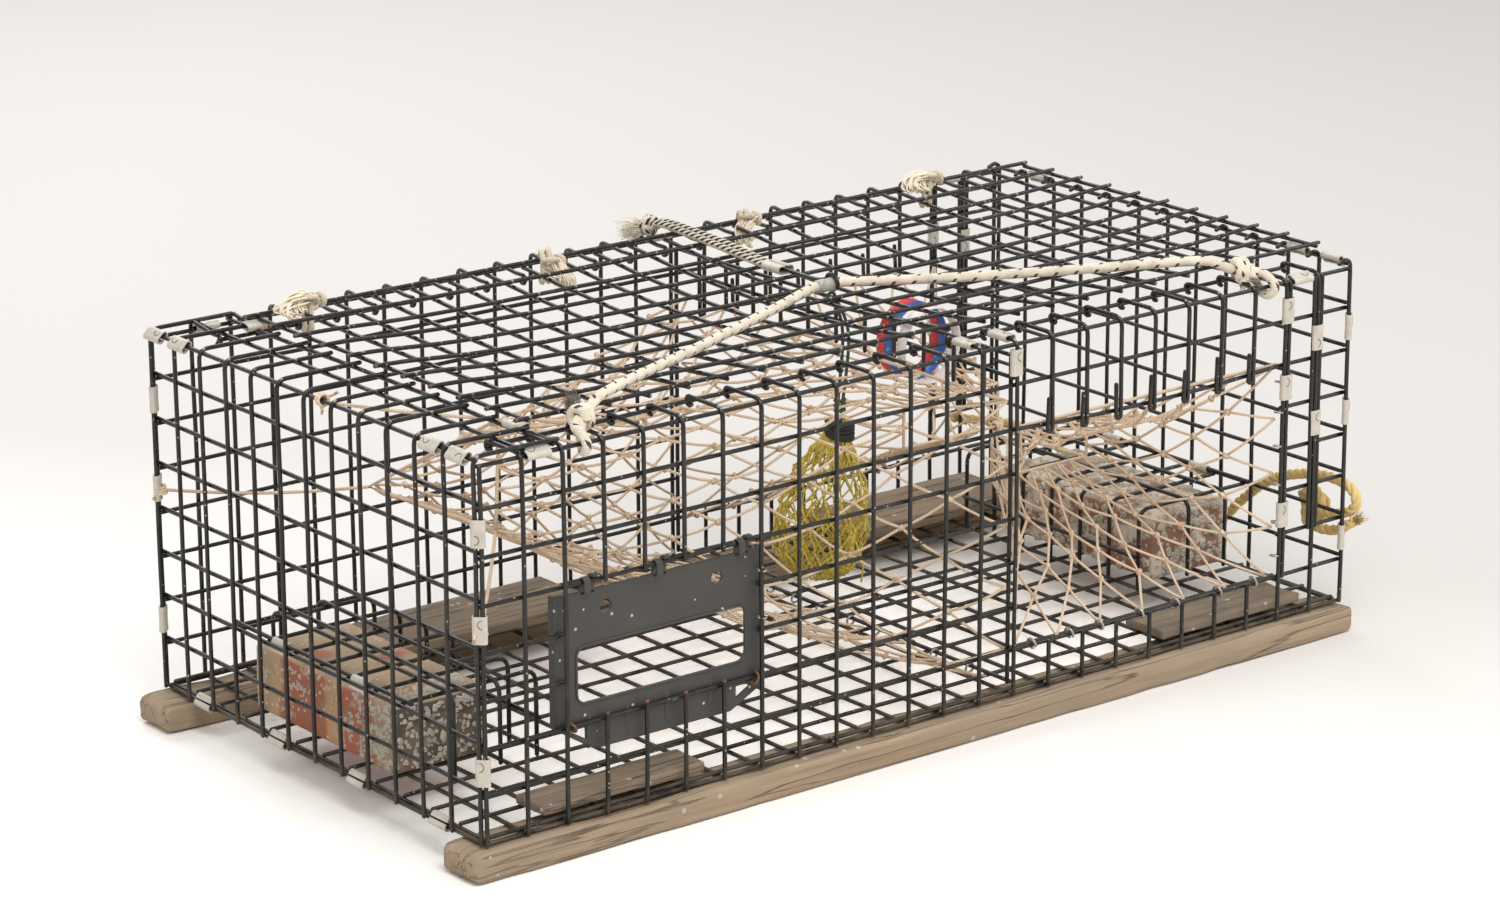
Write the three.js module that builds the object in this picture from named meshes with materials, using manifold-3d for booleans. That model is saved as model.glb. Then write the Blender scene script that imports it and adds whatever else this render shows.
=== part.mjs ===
// A parlour lobster trap: a box of coated wire mesh on two wooden runners, with twine heads,
// an escape vent, caged ballast bricks, a bait bag and a roped lid with a bungee latch.
import * as THREE from "three";
import { mergeVertices } from "three/addons/utils/BufferGeometryUtils.js";
import Module from "manifold-3d";

const wasm = await Module();
wasm.setup();

// Mesh box, in millimetres
const cellSize = 38.1;
const cellsLong = 24;
const cellsDeep = 12;
const cellsHigh = 8;
const wireHalf = 2;
const weldOverlap = 0.4;
const clearance = 0.3;
const bendSize = 5;
const flangeStub = 3;
const doubledOffset = 5.5;
const hookReach = 16;

// Wood
const doorSag = 12;
const partitionDrop = 7;
const runnerHeight = 25;
const runnerWidth = 46;
const runnerOutset = 10;
const runnerNose = 12;
const lathThickness = 9;
const lathWidth = 38;
const wideLathWidth = 48;
const plankThickness = 11;
const plankWidth = 84;

// Ballast
const brickLength = 203;
const brickWidth = 92;
const brickHeight = 57;
const crustThickness = 3;
const legInset = 8;
const cageMargin = 27.3;

// Escape vent
const ventThickness = 3;
const ventHoleRadius = 5.5;
const ventHookWall = 1.8;
const ventTabWidth = 5.5;
const ventTabSpace = 2.5;
const hogRadius = 1;

// Cords, twine and soft pieces
const twineHalf = 1.4;
const bungeeRadius = 4.25;
const sleeveWall = 1;
const sleeveLength = 22;
const braidRadius = 2.75;
const hookWireHalf = 1.8;
const ferruleLength = 24;
const tieRadius = 1.7;
const tieKnotRadius = 4.5;
const bridleRadius = 5;
const bridleKnotRadius = 19;
const bridleStandoff = 1.5;
const baitCordHalf = 1.5;
const bagRadius = 60;
const bagHeight = 152;
const bandWidth = 9;
const bandWall = 1.2;
const bandReach = 31;
const bandDrop = 33;

// Crimped sleeves
const crimpLength = 22;
const crimpWall = 0.9;

// Levels and faces that follow from the sizes above
const weldStep = 2 * wireHalf - weldOverlap;
const freeStep = 2 * wireHalf + clearance;
const frameShift = freeStep - weldStep;
const rowStub = wireHalf - weldOverlap - 2 * clearance;
const gridX = (i) => (i - cellsLong / 2) * cellSize;
const gridY = (j) => (j - cellsDeep / 2) * cellSize;
const gridZ = (k) => k * cellSize;
const faceX = gridX(cellsLong) + 2 * wireHalf;
const faceY = gridY(cellsDeep) + 2 * wireHalf;
const insideX = faceX - freeStep - wireHalf - clearance;
const insideY = faceY - freeStep - wireHalf - clearance;
const flangeZ = gridZ(cellsHigh);
const railZ = flangeZ - weldStep;
const endRailZ = railZ + freeStep;
const endFlangeZ = endRailZ + weldStep;
const doorZ = endFlangeZ + freeStep;
const doorTopZ = doorZ + weldStep + wireHalf;
const floorTop = freeStep + wireHalf;
const floorRest = floorTop + clearance;

const finishes = {
  wire: { color: "#1f2022", roughness: 0.42 },
  wood: { color: "#8b7c68", roughness: 0.85 },
  brick: { color: "#8c4b3a", roughness: 0.9 },
  vent: { color: "#2c2d2f", roughness: 0.6 },
  rust: { color: "#7c563a", roughness: 0.7, metalness: 0.5 },
  twine: { color: "#c9a984", roughness: 0.9 },
  bait: { color: "#a8901f", roughness: 0.8 },
  green: { color: "#3f5a50", roughness: 0.8 },
  cotton: { color: "#ddd3bd", roughness: 0.85 },
  yellow: { color: "#c9ad55", roughness: 0.8 },
  aluminium: { color: "#b9b8ae", roughness: 0.45, metalness: 0.8 },
  red: { color: "#c2312b", roughness: 0.5 },
  white: { color: "#e8e6e2", roughness: 0.5 },
  blue: { color: "#2d5fa8", roughness: 0.5 },
};

// How far the lid hangs down in its middle: shares of the sag at columns along it and rows across it
const doorAlong = [[2, 0], [4, 0.55], [7, 0.9], [11, 1], [16, 1], [20, 0.8], [22.5, 0.5], [24, 0]];
const doorAcross = [[1, 0], [2.5, 0.55], [4.5, 0.92], [6, 1], [7.5, 0.92], [9.5, 0.55], [11, 0]];
const shareAt = (line, at) => {
  const after = line.findIndex(([place]) => place >= at);
  const [[fromPlace, from], [toPlace, to]] = [line[Math.max(0, after - 1)], line[after]];
  return toPlace === fromPlace ? to : from + ((to - from) * (at - fromPlace)) / (toPlace - fromPlace);
};
const doorDrop = (i, j) => doorSag * shareAt(doorAlong, i) * shareAt(doorAcross, j);

const group = new THREE.Group();

function addPiece(name, geometry, finish) {
  const mesh = new THREE.Mesh(geometry, new THREE.MeshStandardMaterial(finishes[finish]));
  mesh.name = name;
  group.add(mesh);
  return mesh;
}

// A path of straight runs whose corners are cut square to the mean of the two directions.
class PolyPath extends THREE.Curve {
  constructor(points, closed = false) {
    super();
    this.points = closed ? [...points, points[0]] : points;
    this.closed = closed;
  }
  getPoint(t, target = new THREE.Vector3()) {
    const last = this.points.length - 1;
    const span = t * last;
    const at = Math.min(Math.floor(span), last - 1);
    return target.lerpVectors(this.points[at], this.points[at + 1], span - at);
  }
  getPointAt(u, target) {
    return this.getPoint(u, target);
  }
  getTangentAt(u, target = new THREE.Vector3()) {
    const last = this.points.length - 1;
    const at = Math.round(u * last);
    const before = this.closed && at === 0 ? last : at;
    const after = this.closed && at === last ? 0 : at;
    target.set(0, 0, 0);
    if (before > 0) {
      const from = this.points[before - 1];
      target.add(this.points[before].clone().sub(from).normalize());
    }
    if (after < last) {
      const to = this.points[after + 1];
      target.add(to.clone().sub(this.points[after]).normalize());
    }
    return target.normalize();
  }
}

function toPoints(list) {
  return list.map(([x, y, z]) => new THREE.Vector3(x, y, z));
}

function diamond(half) {
  const shape = new THREE.Shape();
  shape.moveTo(half, 0);
  shape.lineTo(0, half);
  shape.lineTo(-half, 0);
  shape.lineTo(0, -half);
  shape.closePath();
  return shape;
}

// Widens the section at each corner so that the runs on both sides keep their full thickness
function mitred(geometry, path) {
  const last = path.points.length - 1;
  const corners = [];
  for (let at = path.closed ? 0 : 1; at < last; at += 1) {
    const before = path.points[at === 0 ? last - 1 : at - 1];
    const into = path.points[at].clone().sub(before).normalize();
    const outOf = path.points[at + 1].clone().sub(path.points[at]).normalize();
    const across = outOf.clone().sub(into).normalize();
    const widen = Math.sqrt(2 / (1 + into.dot(outOf))) - 1;
    corners.push({ point: path.points[at], across, widen });
  }
  const position = geometry.getAttribute("position");
  const vertex = new THREE.Vector3();
  for (let v = 0; v < position.count; v += 1) {
    vertex.fromBufferAttribute(position, v);
    const near = path.points.reduce((best, point) => (
      vertex.distanceToSquared(point) < vertex.distanceToSquared(best) ? point : best
    ));
    const corner = corners.find(({ point }) => point === near);
    if (corner) {
      const offset = vertex.clone().sub(corner.point).dot(corner.across);
      vertex.addScaledVector(corner.across, offset * corner.widen);
      position.setXYZ(v, vertex.x, vertex.y, vertex.z);
    }
  }
  return geometry;
}

function wire(list, half = wireHalf) {
  const path = new PolyPath(toPoints(list));
  const options = { steps: list.length - 1, extrudePath: path, bevelEnabled: false };
  return mitred(new THREE.ExtrudeGeometry(diamond(half), options), path);
}

function roundTube(list, radius, sides) {
  const shape = new THREE.Shape();
  for (let s = 0; s < sides; s += 1) {
    const turn = (2 * Math.PI * s) / sides;
    if (s === 0) shape.moveTo(radius, 0);
    else shape.lineTo(radius * Math.cos(turn), radius * Math.sin(turn));
  }
  shape.closePath();
  const path = new PolyPath(toPoints(list));
  const options = { steps: list.length - 1, extrudePath: path, bevelEnabled: false };
  return mitred(new THREE.ExtrudeGeometry(shape, options), path);
}

function closedTube(list, radius, sides) {
  const path = new PolyPath(toPoints(list), true);
  return mitred(new THREE.TubeGeometry(path, list.length, radius, sides, true), path);
}

function lump(center, radii, detail = 1) {
  const geometry = new THREE.IcosahedronGeometry(1, detail);
  geometry.scale(radii[0], radii[1], radii[2]);
  geometry.translate(center[0], center[1], center[2]);
  return geometry;
}

function box(low, high) {
  const size = high.map((value, axis) => value - low[axis]);
  const geometry = new THREE.BoxGeometry(size[0], size[1], size[2]);
  geometry.translate(low[0] + size[0] / 2, low[1] + size[1] / 2, low[2] + size[2] / 2);
  return geometry;
}

function toSolid(geometry) {
  const bare = geometry.clone();
  bare.deleteAttribute("normal");
  bare.deleteAttribute("uv");
  const merged = mergeVertices(bare);
  const mesh = new wasm.Mesh({
    numProp: 3,
    vertProperties: new Float32Array(merged.attributes.position.array),
    triVerts: new Uint32Array(merged.index.array),
  });
  return new wasm.Manifold(mesh);
}

function toGeometry(solid) {
  const made = solid.getMesh();
  const geometry = new THREE.BufferGeometry();
  geometry.setAttribute("position", new THREE.BufferAttribute(new Float32Array(made.vertProperties), 3));
  geometry.setIndex(new THREE.BufferAttribute(new Uint32Array(made.triVerts), 1));
  const flat = geometry.toNonIndexed();
  flat.computeVertexNormals();
  return flat;
}

function joined(geometries) {
  return toGeometry(wasm.Manifold.union(geometries.map(toSolid)));
}

const mix = (from, to, share) => from + (to - from) * share;
const mixPoint = (from, to, share) => from.map((value, axis) => mix(value, to[axis], share));

// Front and rear walls
const entranceFrom = 14;
const entranceTo = 22;
const entranceLow = 1;
const entranceHigh = 6;
const ventFrom = 2;
const ventTo = 7;
const ventLow = 2;
const ventHigh = 5;
const doubledPost = 23;
// A section of a wall from one column to another, between two levels. The sections meet at the
// posts beside the holes, and a section has its own end posts where owns says so
function wallSection(side, { from, to, low, high, owns, framed, stub = rowStub }) {
  const pieces = [];
  const rowY = side * (faceY - freeStep);
  const borderY = side * (faceY - weldStep);
  const edgeY = side * gridY(cellsDeep - 1);
  const start = owns[0] ? gridX(from) - rowStub : gridX(from) + rowStub + clearance;
  const end = owns[1] ? gridX(to) + rowStub : gridX(to) - rowStub - clearance;
  for (let k = low; k <= Math.min(high, cellsHigh - 1); k += 1) {
    const y = k === 0 ? borderY : rowY;
    pieces.push(wire([[start, y, gridZ(k)], [end, y, gridZ(k)]]));
  }
  const hasTop = high === cellsHigh;
  const bottom = low === 0 ? -rowStub : gridZ(low) - rowStub;
  if (hasTop) {
    const edgeStart = Math.max(start, gridX(1) - rowStub);
    const edgeEnd = Math.min(end, gridX(cellsLong - 1) + rowStub);
    pieces.push(wire([[start, borderY, railZ], [end, borderY, railZ]]));
    pieces.push(wire([[edgeStart, edgeY, railZ], [edgeEnd, edgeY, railZ]]));
  }
  const flangeEnd = side * (gridY(cellsDeep - 1) - flangeStub);
  const firstPost = owns[0] ? from : from + 1;
  const lastPost = owns[1] ? to : to - 1;
  for (let i = firstPost; i <= lastPost; i += 1) {
    const x = gridX(i);
    const y = side * (faceY - (framed.includes(i) ? frameShift : 0));
    if (i === 0 || i === cellsLong) {
      pieces.push(wire([[x, y, bottom], [x, y, railZ + rowStub]]));
    } else if (hasTop) {
      pieces.push(wire([[x, y, bottom], [x, y, flangeZ], [x, flangeEnd, flangeZ]]));
    } else {
      pieces.push(wire([[x, y, bottom], [x, y, gridZ(high) + stub]]));
    }
  }
  // The seam posts are doubled where the end section overlaps
  if (to === cellsLong) {
    const seamY = side * (faceY - frameShift);
    for (const [i, level] of [[entranceTo, entranceLow], [doubledPost, ventLow]]) {
      const x = gridX(i) + freeStep;
      pieces.push(wire([[x, seamY, gridZ(level) - rowStub], [x, seamY, railZ + rowStub]]));
    }
  }
  return joined(pieces);
}

const entranceSill = {
  from: entranceFrom, to: entranceTo, low: 0, high: entranceLow, owns: [false, false],
  framed: [entranceFrom + 1, entranceTo - 1],
};
const entranceHeader = { ...entranceSill, low: entranceHigh, high: cellsHigh };
const rightSection = {
  from: entranceTo, to: cellsLong, low: 0, high: cellsHigh, owns: [true, true], framed: [entranceTo, cellsLong],
};
const ventSill = {
  from: ventFrom, to: ventTo, low: 0, high: ventLow, owns: [false, false],
  framed: [ventFrom + 1, ventTo - 1], stub: flangeStub,
};
const sections = {
  front_panel_left: [-1, { from: 0, to: ventFrom, low: 0, high: cellsHigh, owns: [true, true], framed: [0, ventFrom] }],
  front_vent_sill: [-1, ventSill],
  front_vent_header: [-1, { ...ventSill, low: ventHigh, high: cellsHigh }],
  front_panel_middle: [-1, {
    from: ventTo, to: entranceFrom, low: 0, high: cellsHigh, owns: [true, true], framed: [ventTo, entranceFrom],
  }],
  front_entrance_sill: [-1, entranceSill],
  front_entrance_header: [-1, entranceHeader],
  front_panel_right: [-1, rightSection],
  rear_panel_left: [1, {
    from: 0, to: entranceFrom, low: 0, high: cellsHigh, owns: [true, true], framed: [0, entranceFrom],
  }],
  rear_entrance_sill: [1, entranceSill],
  rear_entrance_header: [1, entranceHeader],
  rear_panel_right: [1, rightSection],
};
for (const [name, [side, section]] of Object.entries(sections)) {
  addPiece(name, wallSection(side, section), "wire");
}

// Left and right ends
function endPanel(side, reach, flangeRows) {
  const pieces = [];
  const rowX = side * (faceX - freeStep);
  const borderX = side * (faceX - weldStep);
  const rowY = gridY(cellsDeep) + rowStub;
  const shortY = faceY - weldStep - freeStep;
  pieces.push(wire([[borderX, -shortY, 0], [borderX, shortY, 0]]));
  for (let k = 1; k < cellsHigh; k += 1) {
    pieces.push(wire([[rowX, -rowY, gridZ(k) + freeStep], [rowX, rowY, gridZ(k) + freeStep]]));
  }
  for (const x of [borderX, ...flangeRows]) {
    pieces.push(wire([[x, -rowY, endRailZ], [x, rowY, endRailZ]]));
  }
  for (let j = 0; j <= cellsDeep; j += 1) {
    const framed = j === 0 || j === cellsDeep;
    const x = side * (faceX - (framed ? frameShift : 0));
    pieces.push(wire([
      [x, gridY(j), -rowStub],
      [x, gridY(j), endFlangeZ],
      [side * (faceX - reach), gridY(j), endFlangeZ],
    ]));
  }
  return joined(pieces);
}

const leftReach = 2 * cellSize + 2 * wireHalf + rowStub;
const leftRows = [gridX(1) + doubledOffset, gridX(2) - doubledOffset];
addPiece("left_end_panel", endPanel(-1, leftReach, leftRows), "wire");
addPiece("right_end_panel", endPanel(1, hookReach, []), "wire");

// Floor
function floorPanel() {
  const pieces = [];
  const edgeX = faceX - weldStep - freeStep;
  const edgeY = faceY - weldStep - wireHalf - clearance;
  const borderY = edgeY - rowStub;
  const rowX = edgeX + rowStub;
  for (let i = 0; i <= cellsLong; i += 1) {
    const framed = i === 0 || i === cellsLong;
    const x = framed ? Math.sign(gridX(i)) * edgeX : gridX(i);
    const z = framed ? frameShift : 0;
    pieces.push(wire([[x, -edgeY, z], [x, edgeY, z]]));
  }
  for (let j = 0; j <= cellsDeep; j += 1) {
    const framed = j === 0 || j === cellsDeep;
    const y = framed ? Math.sign(gridY(j)) * borderY : gridY(j);
    const z = framed ? weldStep : freeStep;
    pieces.push(wire([[-rowX, y, z], [rowX, y, z]]));
  }
  return joined(pieces);
}

addPiece("floor_panel", floorPanel(), "wire");

// Partition between kitchen and parlour
const partitionX = gridX(entranceFrom);
const partitionRowX = partitionX + weldStep;
const partitionBottom = floorRest + wireHalf;
const partitionBand = 6.62;
const partitionSecond = gridZ(7) + freeStep;
const partitionTop = railZ - freeStep - clearance - partitionDrop;
const partitionEdge = insideY - wireHalf;

function partitionFrame() {
  const pieces = [];
  for (const z of [partitionBottom, partitionSecond, partitionTop]) {
    const y = partitionEdge + rowStub;
    pieces.push(wire([[partitionRowX, -y, z], [partitionRowX, y, z]]));
  }
  for (let j = 0; j <= cellsDeep; j += 1) {
    const framed = j === 0 || j === cellsDeep;
    const y = framed ? Math.sign(gridY(j)) * partitionEdge : gridY(j);
    const low = framed ? partitionBottom - rowStub : gridZ(partitionBand);
    pieces.push(wire([[partitionX, y, low], [partitionX, y, partitionTop + rowStub]]));
  }
  return joined(pieces);
}

addPiece("partition_frame", partitionFrame(), "wire");

// Lid
const doorFrom = 2;
const doorStub = 14;
const doorPegLength = 4;
const doorFrontRow = 1;
const doorRearRow = cellsDeep - 1;
const doorPivotZ = doorZ + weldStep - frameShift;

function doorPanel() {
  const pieces = [];
  for (let i = doorFrom; i <= cellsLong; i += 1) {
    const framed = i === doorFrom || i === cellsLong;
    const z = framed ? doorZ : doorZ - frameShift;
    const line = doorAcross.map(([j]) => [gridX(i), gridY(j), z - doorDrop(i, j)]);
    line[0][1] -= rowStub;
    line[line.length - 1][1] += rowStub;
    pieces.push(wire(framed ? [line[0], line[line.length - 1]] : line));
  }
  for (let j = doorFrontRow; j <= doorRearRow; j += 1) {
    const framed = j === doorFrontRow || j === doorRearRow;
    const z = framed ? doorPivotZ : doorZ + weldStep;
    const line = doorAlong.map(([i]) => [gridX(i), gridY(j), z - doorDrop(i, j)]);
    line.unshift([gridX(doorFrom) - doorStub, gridY(j), z]);
    line.push([gridX(cellsLong) + doorPegLength, gridY(j), z]);
    pieces.push(wire(framed ? [line[0], line[line.length - 1]] : line));
  }
  return joined(pieces);
}

addPiece("door_panel", doorPanel(), "wire");

// Runners, laths and planks
function runner(fromX, toX, centerY) {
  const shape = new THREE.Shape();
  const top = -wireHalf - clearance;
  const bottom = top - runnerHeight;
  const easeShare = 0.4;
  const ease = runnerNose * easeShare;
  shape.moveTo(fromX, top - ease);
  shape.lineTo(fromX, bottom + runnerNose);
  shape.lineTo(fromX + ease, bottom + ease);
  shape.lineTo(fromX + runnerNose, bottom);
  shape.lineTo(toX - runnerNose, bottom);
  shape.lineTo(toX - ease, bottom + ease);
  shape.lineTo(toX, bottom + runnerNose);
  shape.lineTo(toX, top - ease);
  shape.lineTo(toX - ease, top);
  shape.lineTo(fromX + ease, top);
  shape.closePath();
  const geometry = new THREE.ExtrudeGeometry(shape, { depth: runnerWidth, bevelEnabled: false });
  geometry.translate(0, 0, -runnerWidth / 2);
  geometry.rotateX(Math.PI / 2);
  geometry.translate(0, centerY, 0);
  return geometry;
}

const frontRunnerY = -faceY + runnerWidth / 2 - runnerOutset;
const rearRunnerY = faceY - runnerWidth / 2;
const frontRunnerEnds = [gridX(-0.5), gridX(24.25)];
const rearRunnerEnds = [gridX(-0.75), gridX(24.1)];
addPiece("front_runner", runner(frontRunnerEnds[0], frontRunnerEnds[1], frontRunnerY), "wood");
addPiece("rear_runner", runner(rearRunnerEnds[0], rearRunnerEnds[1], rearRunnerY), "wood");

const frontLathY = -insideY + clearance;
const rearLathY = insideY - clearance;
const lathSpans = {
  front_left_lath: [1.5, 5.65, frontLathY, frontLathY + lathWidth, lathThickness],
  front_right_lath: [18.6, 22.9, frontLathY, frontLathY + wideLathWidth, lathThickness],
  rear_left_plank: [4, 10, rearLathY - plankWidth, rearLathY, plankThickness],
  rear_right_plank: [17.7, 23, rearLathY - plankWidth, rearLathY, plankThickness],
};
for (const [name, [from, to, low, high, thickness]] of Object.entries(lathSpans)) {
  addPiece(name, box([gridX(from), low, floorRest], [gridX(to), high, floorRest + thickness]), "wood");
}

// Ballast bricks under wire hoods
const cageTop = gridZ(2) + freeStep;
const cageCrossZ = cageTop + weldStep;
const cageMidZ = gridZ(1);

function cage(side, legColumn, crossColumns, frontY, rearY) {
  const pieces = [];
  const railX = side * (faceX - 2 * freeStep);
  const legX = gridX(legColumn);
  const legTop = floorRest + legInset;
  const rows = [3, 4, 5, 6, 7, 8, 9];
  pieces.push(wire([[railX, frontY, cageCrossZ - frameShift], [railX, rearY, cageCrossZ - frameShift]]));
  for (const j of rows) {
    const y = gridY(j);
    pieces.push(wire([
      [railX + side * rowStub, y, cageTop],
      [legX + side * bendSize, y, cageTop],
      [legX, y, cageTop - bendSize],
      [legX, y, floorRest],
    ]));
  }
  for (const i of crossColumns) {
    const x = gridX(i);
    pieces.push(wire([
      [x, frontY, legTop],
      [x, frontY, cageCrossZ - bendSize],
      [x, frontY + bendSize, cageCrossZ],
      [x, rearY - bendSize, cageCrossZ],
      [x, rearY, cageCrossZ - bendSize],
      [x, rearY, legTop],
    ]));
  }
  const sideX = legX - side * weldStep;
  pieces.push(wire([[sideX, gridY(rows[0]) - rowStub, cageMidZ], [sideX, gridY(rows[6]) + rowStub, cageMidZ]]));
  return joined(pieces);
}

const cageRearY = brickLength / 2 + cageMargin;
const cageFrontY = -cageRearY;
addPiece("left_ballast_cage", cage(-1, 3.45, [1.1, 2.25], cageFrontY, cageRearY), "wire");
addPiece("right_ballast_cage", cage(1, 20.55, [22.9, 21.75], cageFrontY, cageRearY), "wire");

const leftBrickX = gridX(0.45);
const leftBrickY = gridY(6.515) - brickLength / 2;
const leftBrickLow = [leftBrickX, leftBrickY, floorRest];
const leftBrickHigh = [leftBrickX + brickWidth, leftBrickY + brickLength, floorRest + brickHeight];
addPiece("left_brick", box(leftBrickLow, leftBrickHigh), "brick");
const rightBrickX = gridX(23.7);
const rightBrickY = gridY(5.965) - brickLength / 2;
const rightBrickLow = [rightBrickX - brickWidth - crustThickness, rightBrickY - crustThickness, floorRest];
const rightBrickHigh = [rightBrickX, rightBrickY + brickLength, floorRest + brickHeight + crustThickness];
addPiece("right_brick", box(rightBrickLow, rightBrickHigh), "brick");

// Escape vent, hung on the wire above its hole
const ventWireY = -(faceY - freeStep);
const ventWireZ = gridZ(ventHigh);
const ventFrontY = -insideY;
const ventBottom = 1.35;
const ventOutline = [
  [1.86, 4.78], [1.86, 1.95], [2.85, ventBottom], [6.3, ventBottom], [7.2, 1.8], [7.2, 4.78],
];
const ventWindow = [2.37, 6.7, 2.4, 3.62];
const ventWindowCorner = 8;
const ventHoles = [[3.13, 4.35], [5.97, 4.35]];
const ventGaps = [
  [[2.13, 1.9], [2.68, 1.9], [2.68, 1.57]],
  [[6.45, 1.9], [7.02, 1.9], [6.45, 1.6]],
];
const ventTabPairs = [2.68, 4.5, 6.62];

function ventPlate() {
  const shape = new THREE.Shape(ventOutline.map(([i, k]) => new THREE.Vector2(gridX(i), gridZ(k))));
  const [left, right, low, high] = [
    gridX(ventWindow[0]), gridX(ventWindow[1]), gridZ(ventWindow[2]), gridZ(ventWindow[3]),
  ];
  const corner = ventWindowCorner;
  const opening = new THREE.Path();
  opening.moveTo(left + corner, low);
  opening.lineTo(right - corner, low);
  opening.quadraticCurveTo(right, low, right, low + corner);
  opening.lineTo(right, high - corner);
  opening.quadraticCurveTo(right, high, right - corner, high);
  opening.lineTo(left + corner, high);
  opening.quadraticCurveTo(left, high, left, high - corner);
  opening.lineTo(left, low + corner);
  opening.quadraticCurveTo(left, low, left + corner, low);
  shape.holes.push(opening);
  for (const [i, k] of ventHoles) {
    const hole = new THREE.Path();
    hole.absarc(gridX(i), gridZ(k), ventHoleRadius, 0, 2 * Math.PI, true);
    shape.holes.push(hole);
  }
  for (const corners of ventGaps) {
    shape.holes.push(new THREE.Path(corners.map(([i, k]) => new THREE.Vector2(gridX(i), gridZ(k)))));
  }
  const plate = new THREE.ExtrudeGeometry(shape, { depth: ventThickness, bevelEnabled: false, curveSegments: 3 });
  plate.rotateX(Math.PI / 2);
  plate.translate(0, ventFrontY + ventThickness, 0);
  return plate;
}

function ventHook(centerX) {
  const inner = wireHalf + clearance;
  const outer = inner + ventHookWall;
  const drop = ventWireZ - gridZ(ventOutline[0][1]) + ventHookWall;
  const steps = 6;
  const sweep = (200 / 180) * Math.PI;
  const points = [];
  points.push(new THREE.Vector2(outer, -drop));
  for (let s = 0; s <= steps; s += 1) {
    const turn = (sweep * s) / steps;
    points.push(new THREE.Vector2(outer * Math.cos(turn), outer * Math.sin(turn)));
  }
  for (let s = steps; s >= 0; s -= 1) {
    const turn = (sweep * s) / steps;
    points.push(new THREE.Vector2(inner * Math.cos(turn), inner * Math.sin(turn)));
  }
  points.push(new THREE.Vector2(inner, -drop));
  const hook = new THREE.ExtrudeGeometry(new THREE.Shape(points), { depth: ventTabWidth, bevelEnabled: false });
  hook.rotateX(Math.PI / 2);
  hook.rotateZ(Math.PI / 2);
  hook.translate(centerX - ventTabWidth / 2, ventWireY, ventWireZ);
  return hook;
}

const tabStep = (ventTabWidth + ventTabSpace) / 2;
const ventHooks = ventTabPairs.flatMap((i) => [gridX(i) - tabStep, gridX(i) + tabStep]).map(ventHook);
addPiece("escape_vent", joined([ventPlate(), ...ventHooks]), "vent");

function hogRing(centerX, centerY, centerZ) {
  const radius = wireHalf + clearance + hogRadius;
  const from = (66 / 180) * Math.PI;
  const steps = 7;
  const points = [];
  for (let s = 0; s <= steps; s += 1) {
    const turn = mix(from, 2 * Math.PI - from, s / steps);
    points.push([centerX, centerY + radius * Math.cos(turn), centerZ + radius * Math.sin(turn)]);
  }
  return wire(points, hogRadius);
}

addPiece("vent_ring_left", hogRing(gridX(2.45), ventWireY, gridZ(ventLow)), "rust");
addPiece("vent_ring_right", hogRing(gridX(6.55), ventWireY, gridZ(ventLow)), "rust");

// Twine heads: netting between a rim and a throat
function ringPoint(corners, share) {
  const lengths = corners.map((from, at) => {
    const to = corners[(at + 1) % corners.length];
    return Math.hypot(...to.map((value, axis) => value - from[axis]));
  });
  const whole = lengths.reduce((sum, length) => sum + length, 0);
  let left = (share - Math.floor(share)) * whole;
  for (let at = 0; at < corners.length; at += 1) {
    if (left <= lengths[at]) {
      return mixPoint(corners[at], corners[(at + 1) % corners.length], left / lengths[at]);
    }
    left -= lengths[at];
  }
  return corners[0];
}

const rimShare = 1.2;
const underShare = 0.83;

// Straight twines lean both ways round the funnel, each way starting between the starts of the other
function headNet(rim, throat, meshes, lean) {
  const pieces = [];
  for (const ring of [rim, throat]) {
    pieces.push(closedTube(ring, twineHalf * rimShare, 4));
  }
  for (let column = 0; column < meshes; column += 1) {
    for (const way of [-1, 1]) {
      const start = (column + way / 4) / meshes;
      const end = start + (way * lean) / meshes;
      const half = way < 0 ? twineHalf : twineHalf * underShare;
      pieces.push(wire([ringPoint(rim, start), ringPoint(throat, end)], half));
    }
  }
  return joined(pieces);
}

const entranceMeshes = 6;
const parlourMeshes = 8;
const netLean = 0.75;
const rimGap = wireHalf + clearance + 2 * twineHalf * rimShare;
const entranceRimY = insideY - twineHalf * rimShare;
const throatColumns = [17.3, 20.2];
const throatLevels = [3.15, 5];
const throatY = gridY(4.45);

function entranceCorners(side) {
  const [left, right] = [gridX(entranceFrom) + rimGap, gridX(entranceTo) - rimGap];
  const [low, high] = [gridZ(entranceLow), gridZ(entranceHigh)];
  const y = side * entranceRimY;
  return [[left, y, low], [right, y, low], [right, y, high], [left, y, high]];
}

function entranceThroat(side) {
  const y = -side * throatY;
  const [left, right] = throatColumns.map(gridX);
  const [low, high] = throatLevels.map(gridZ);
  return [[left, y, low], [right, y, low], [right, y, high], [left, y, high]];
}

addPiece("front_head_net", headNet(entranceCorners(-1), entranceThroat(-1), entranceMeshes, netLean), "twine");
addPiece("rear_head_net", headNet(entranceCorners(1), entranceThroat(1), entranceMeshes, netLean), "twine");

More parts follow.
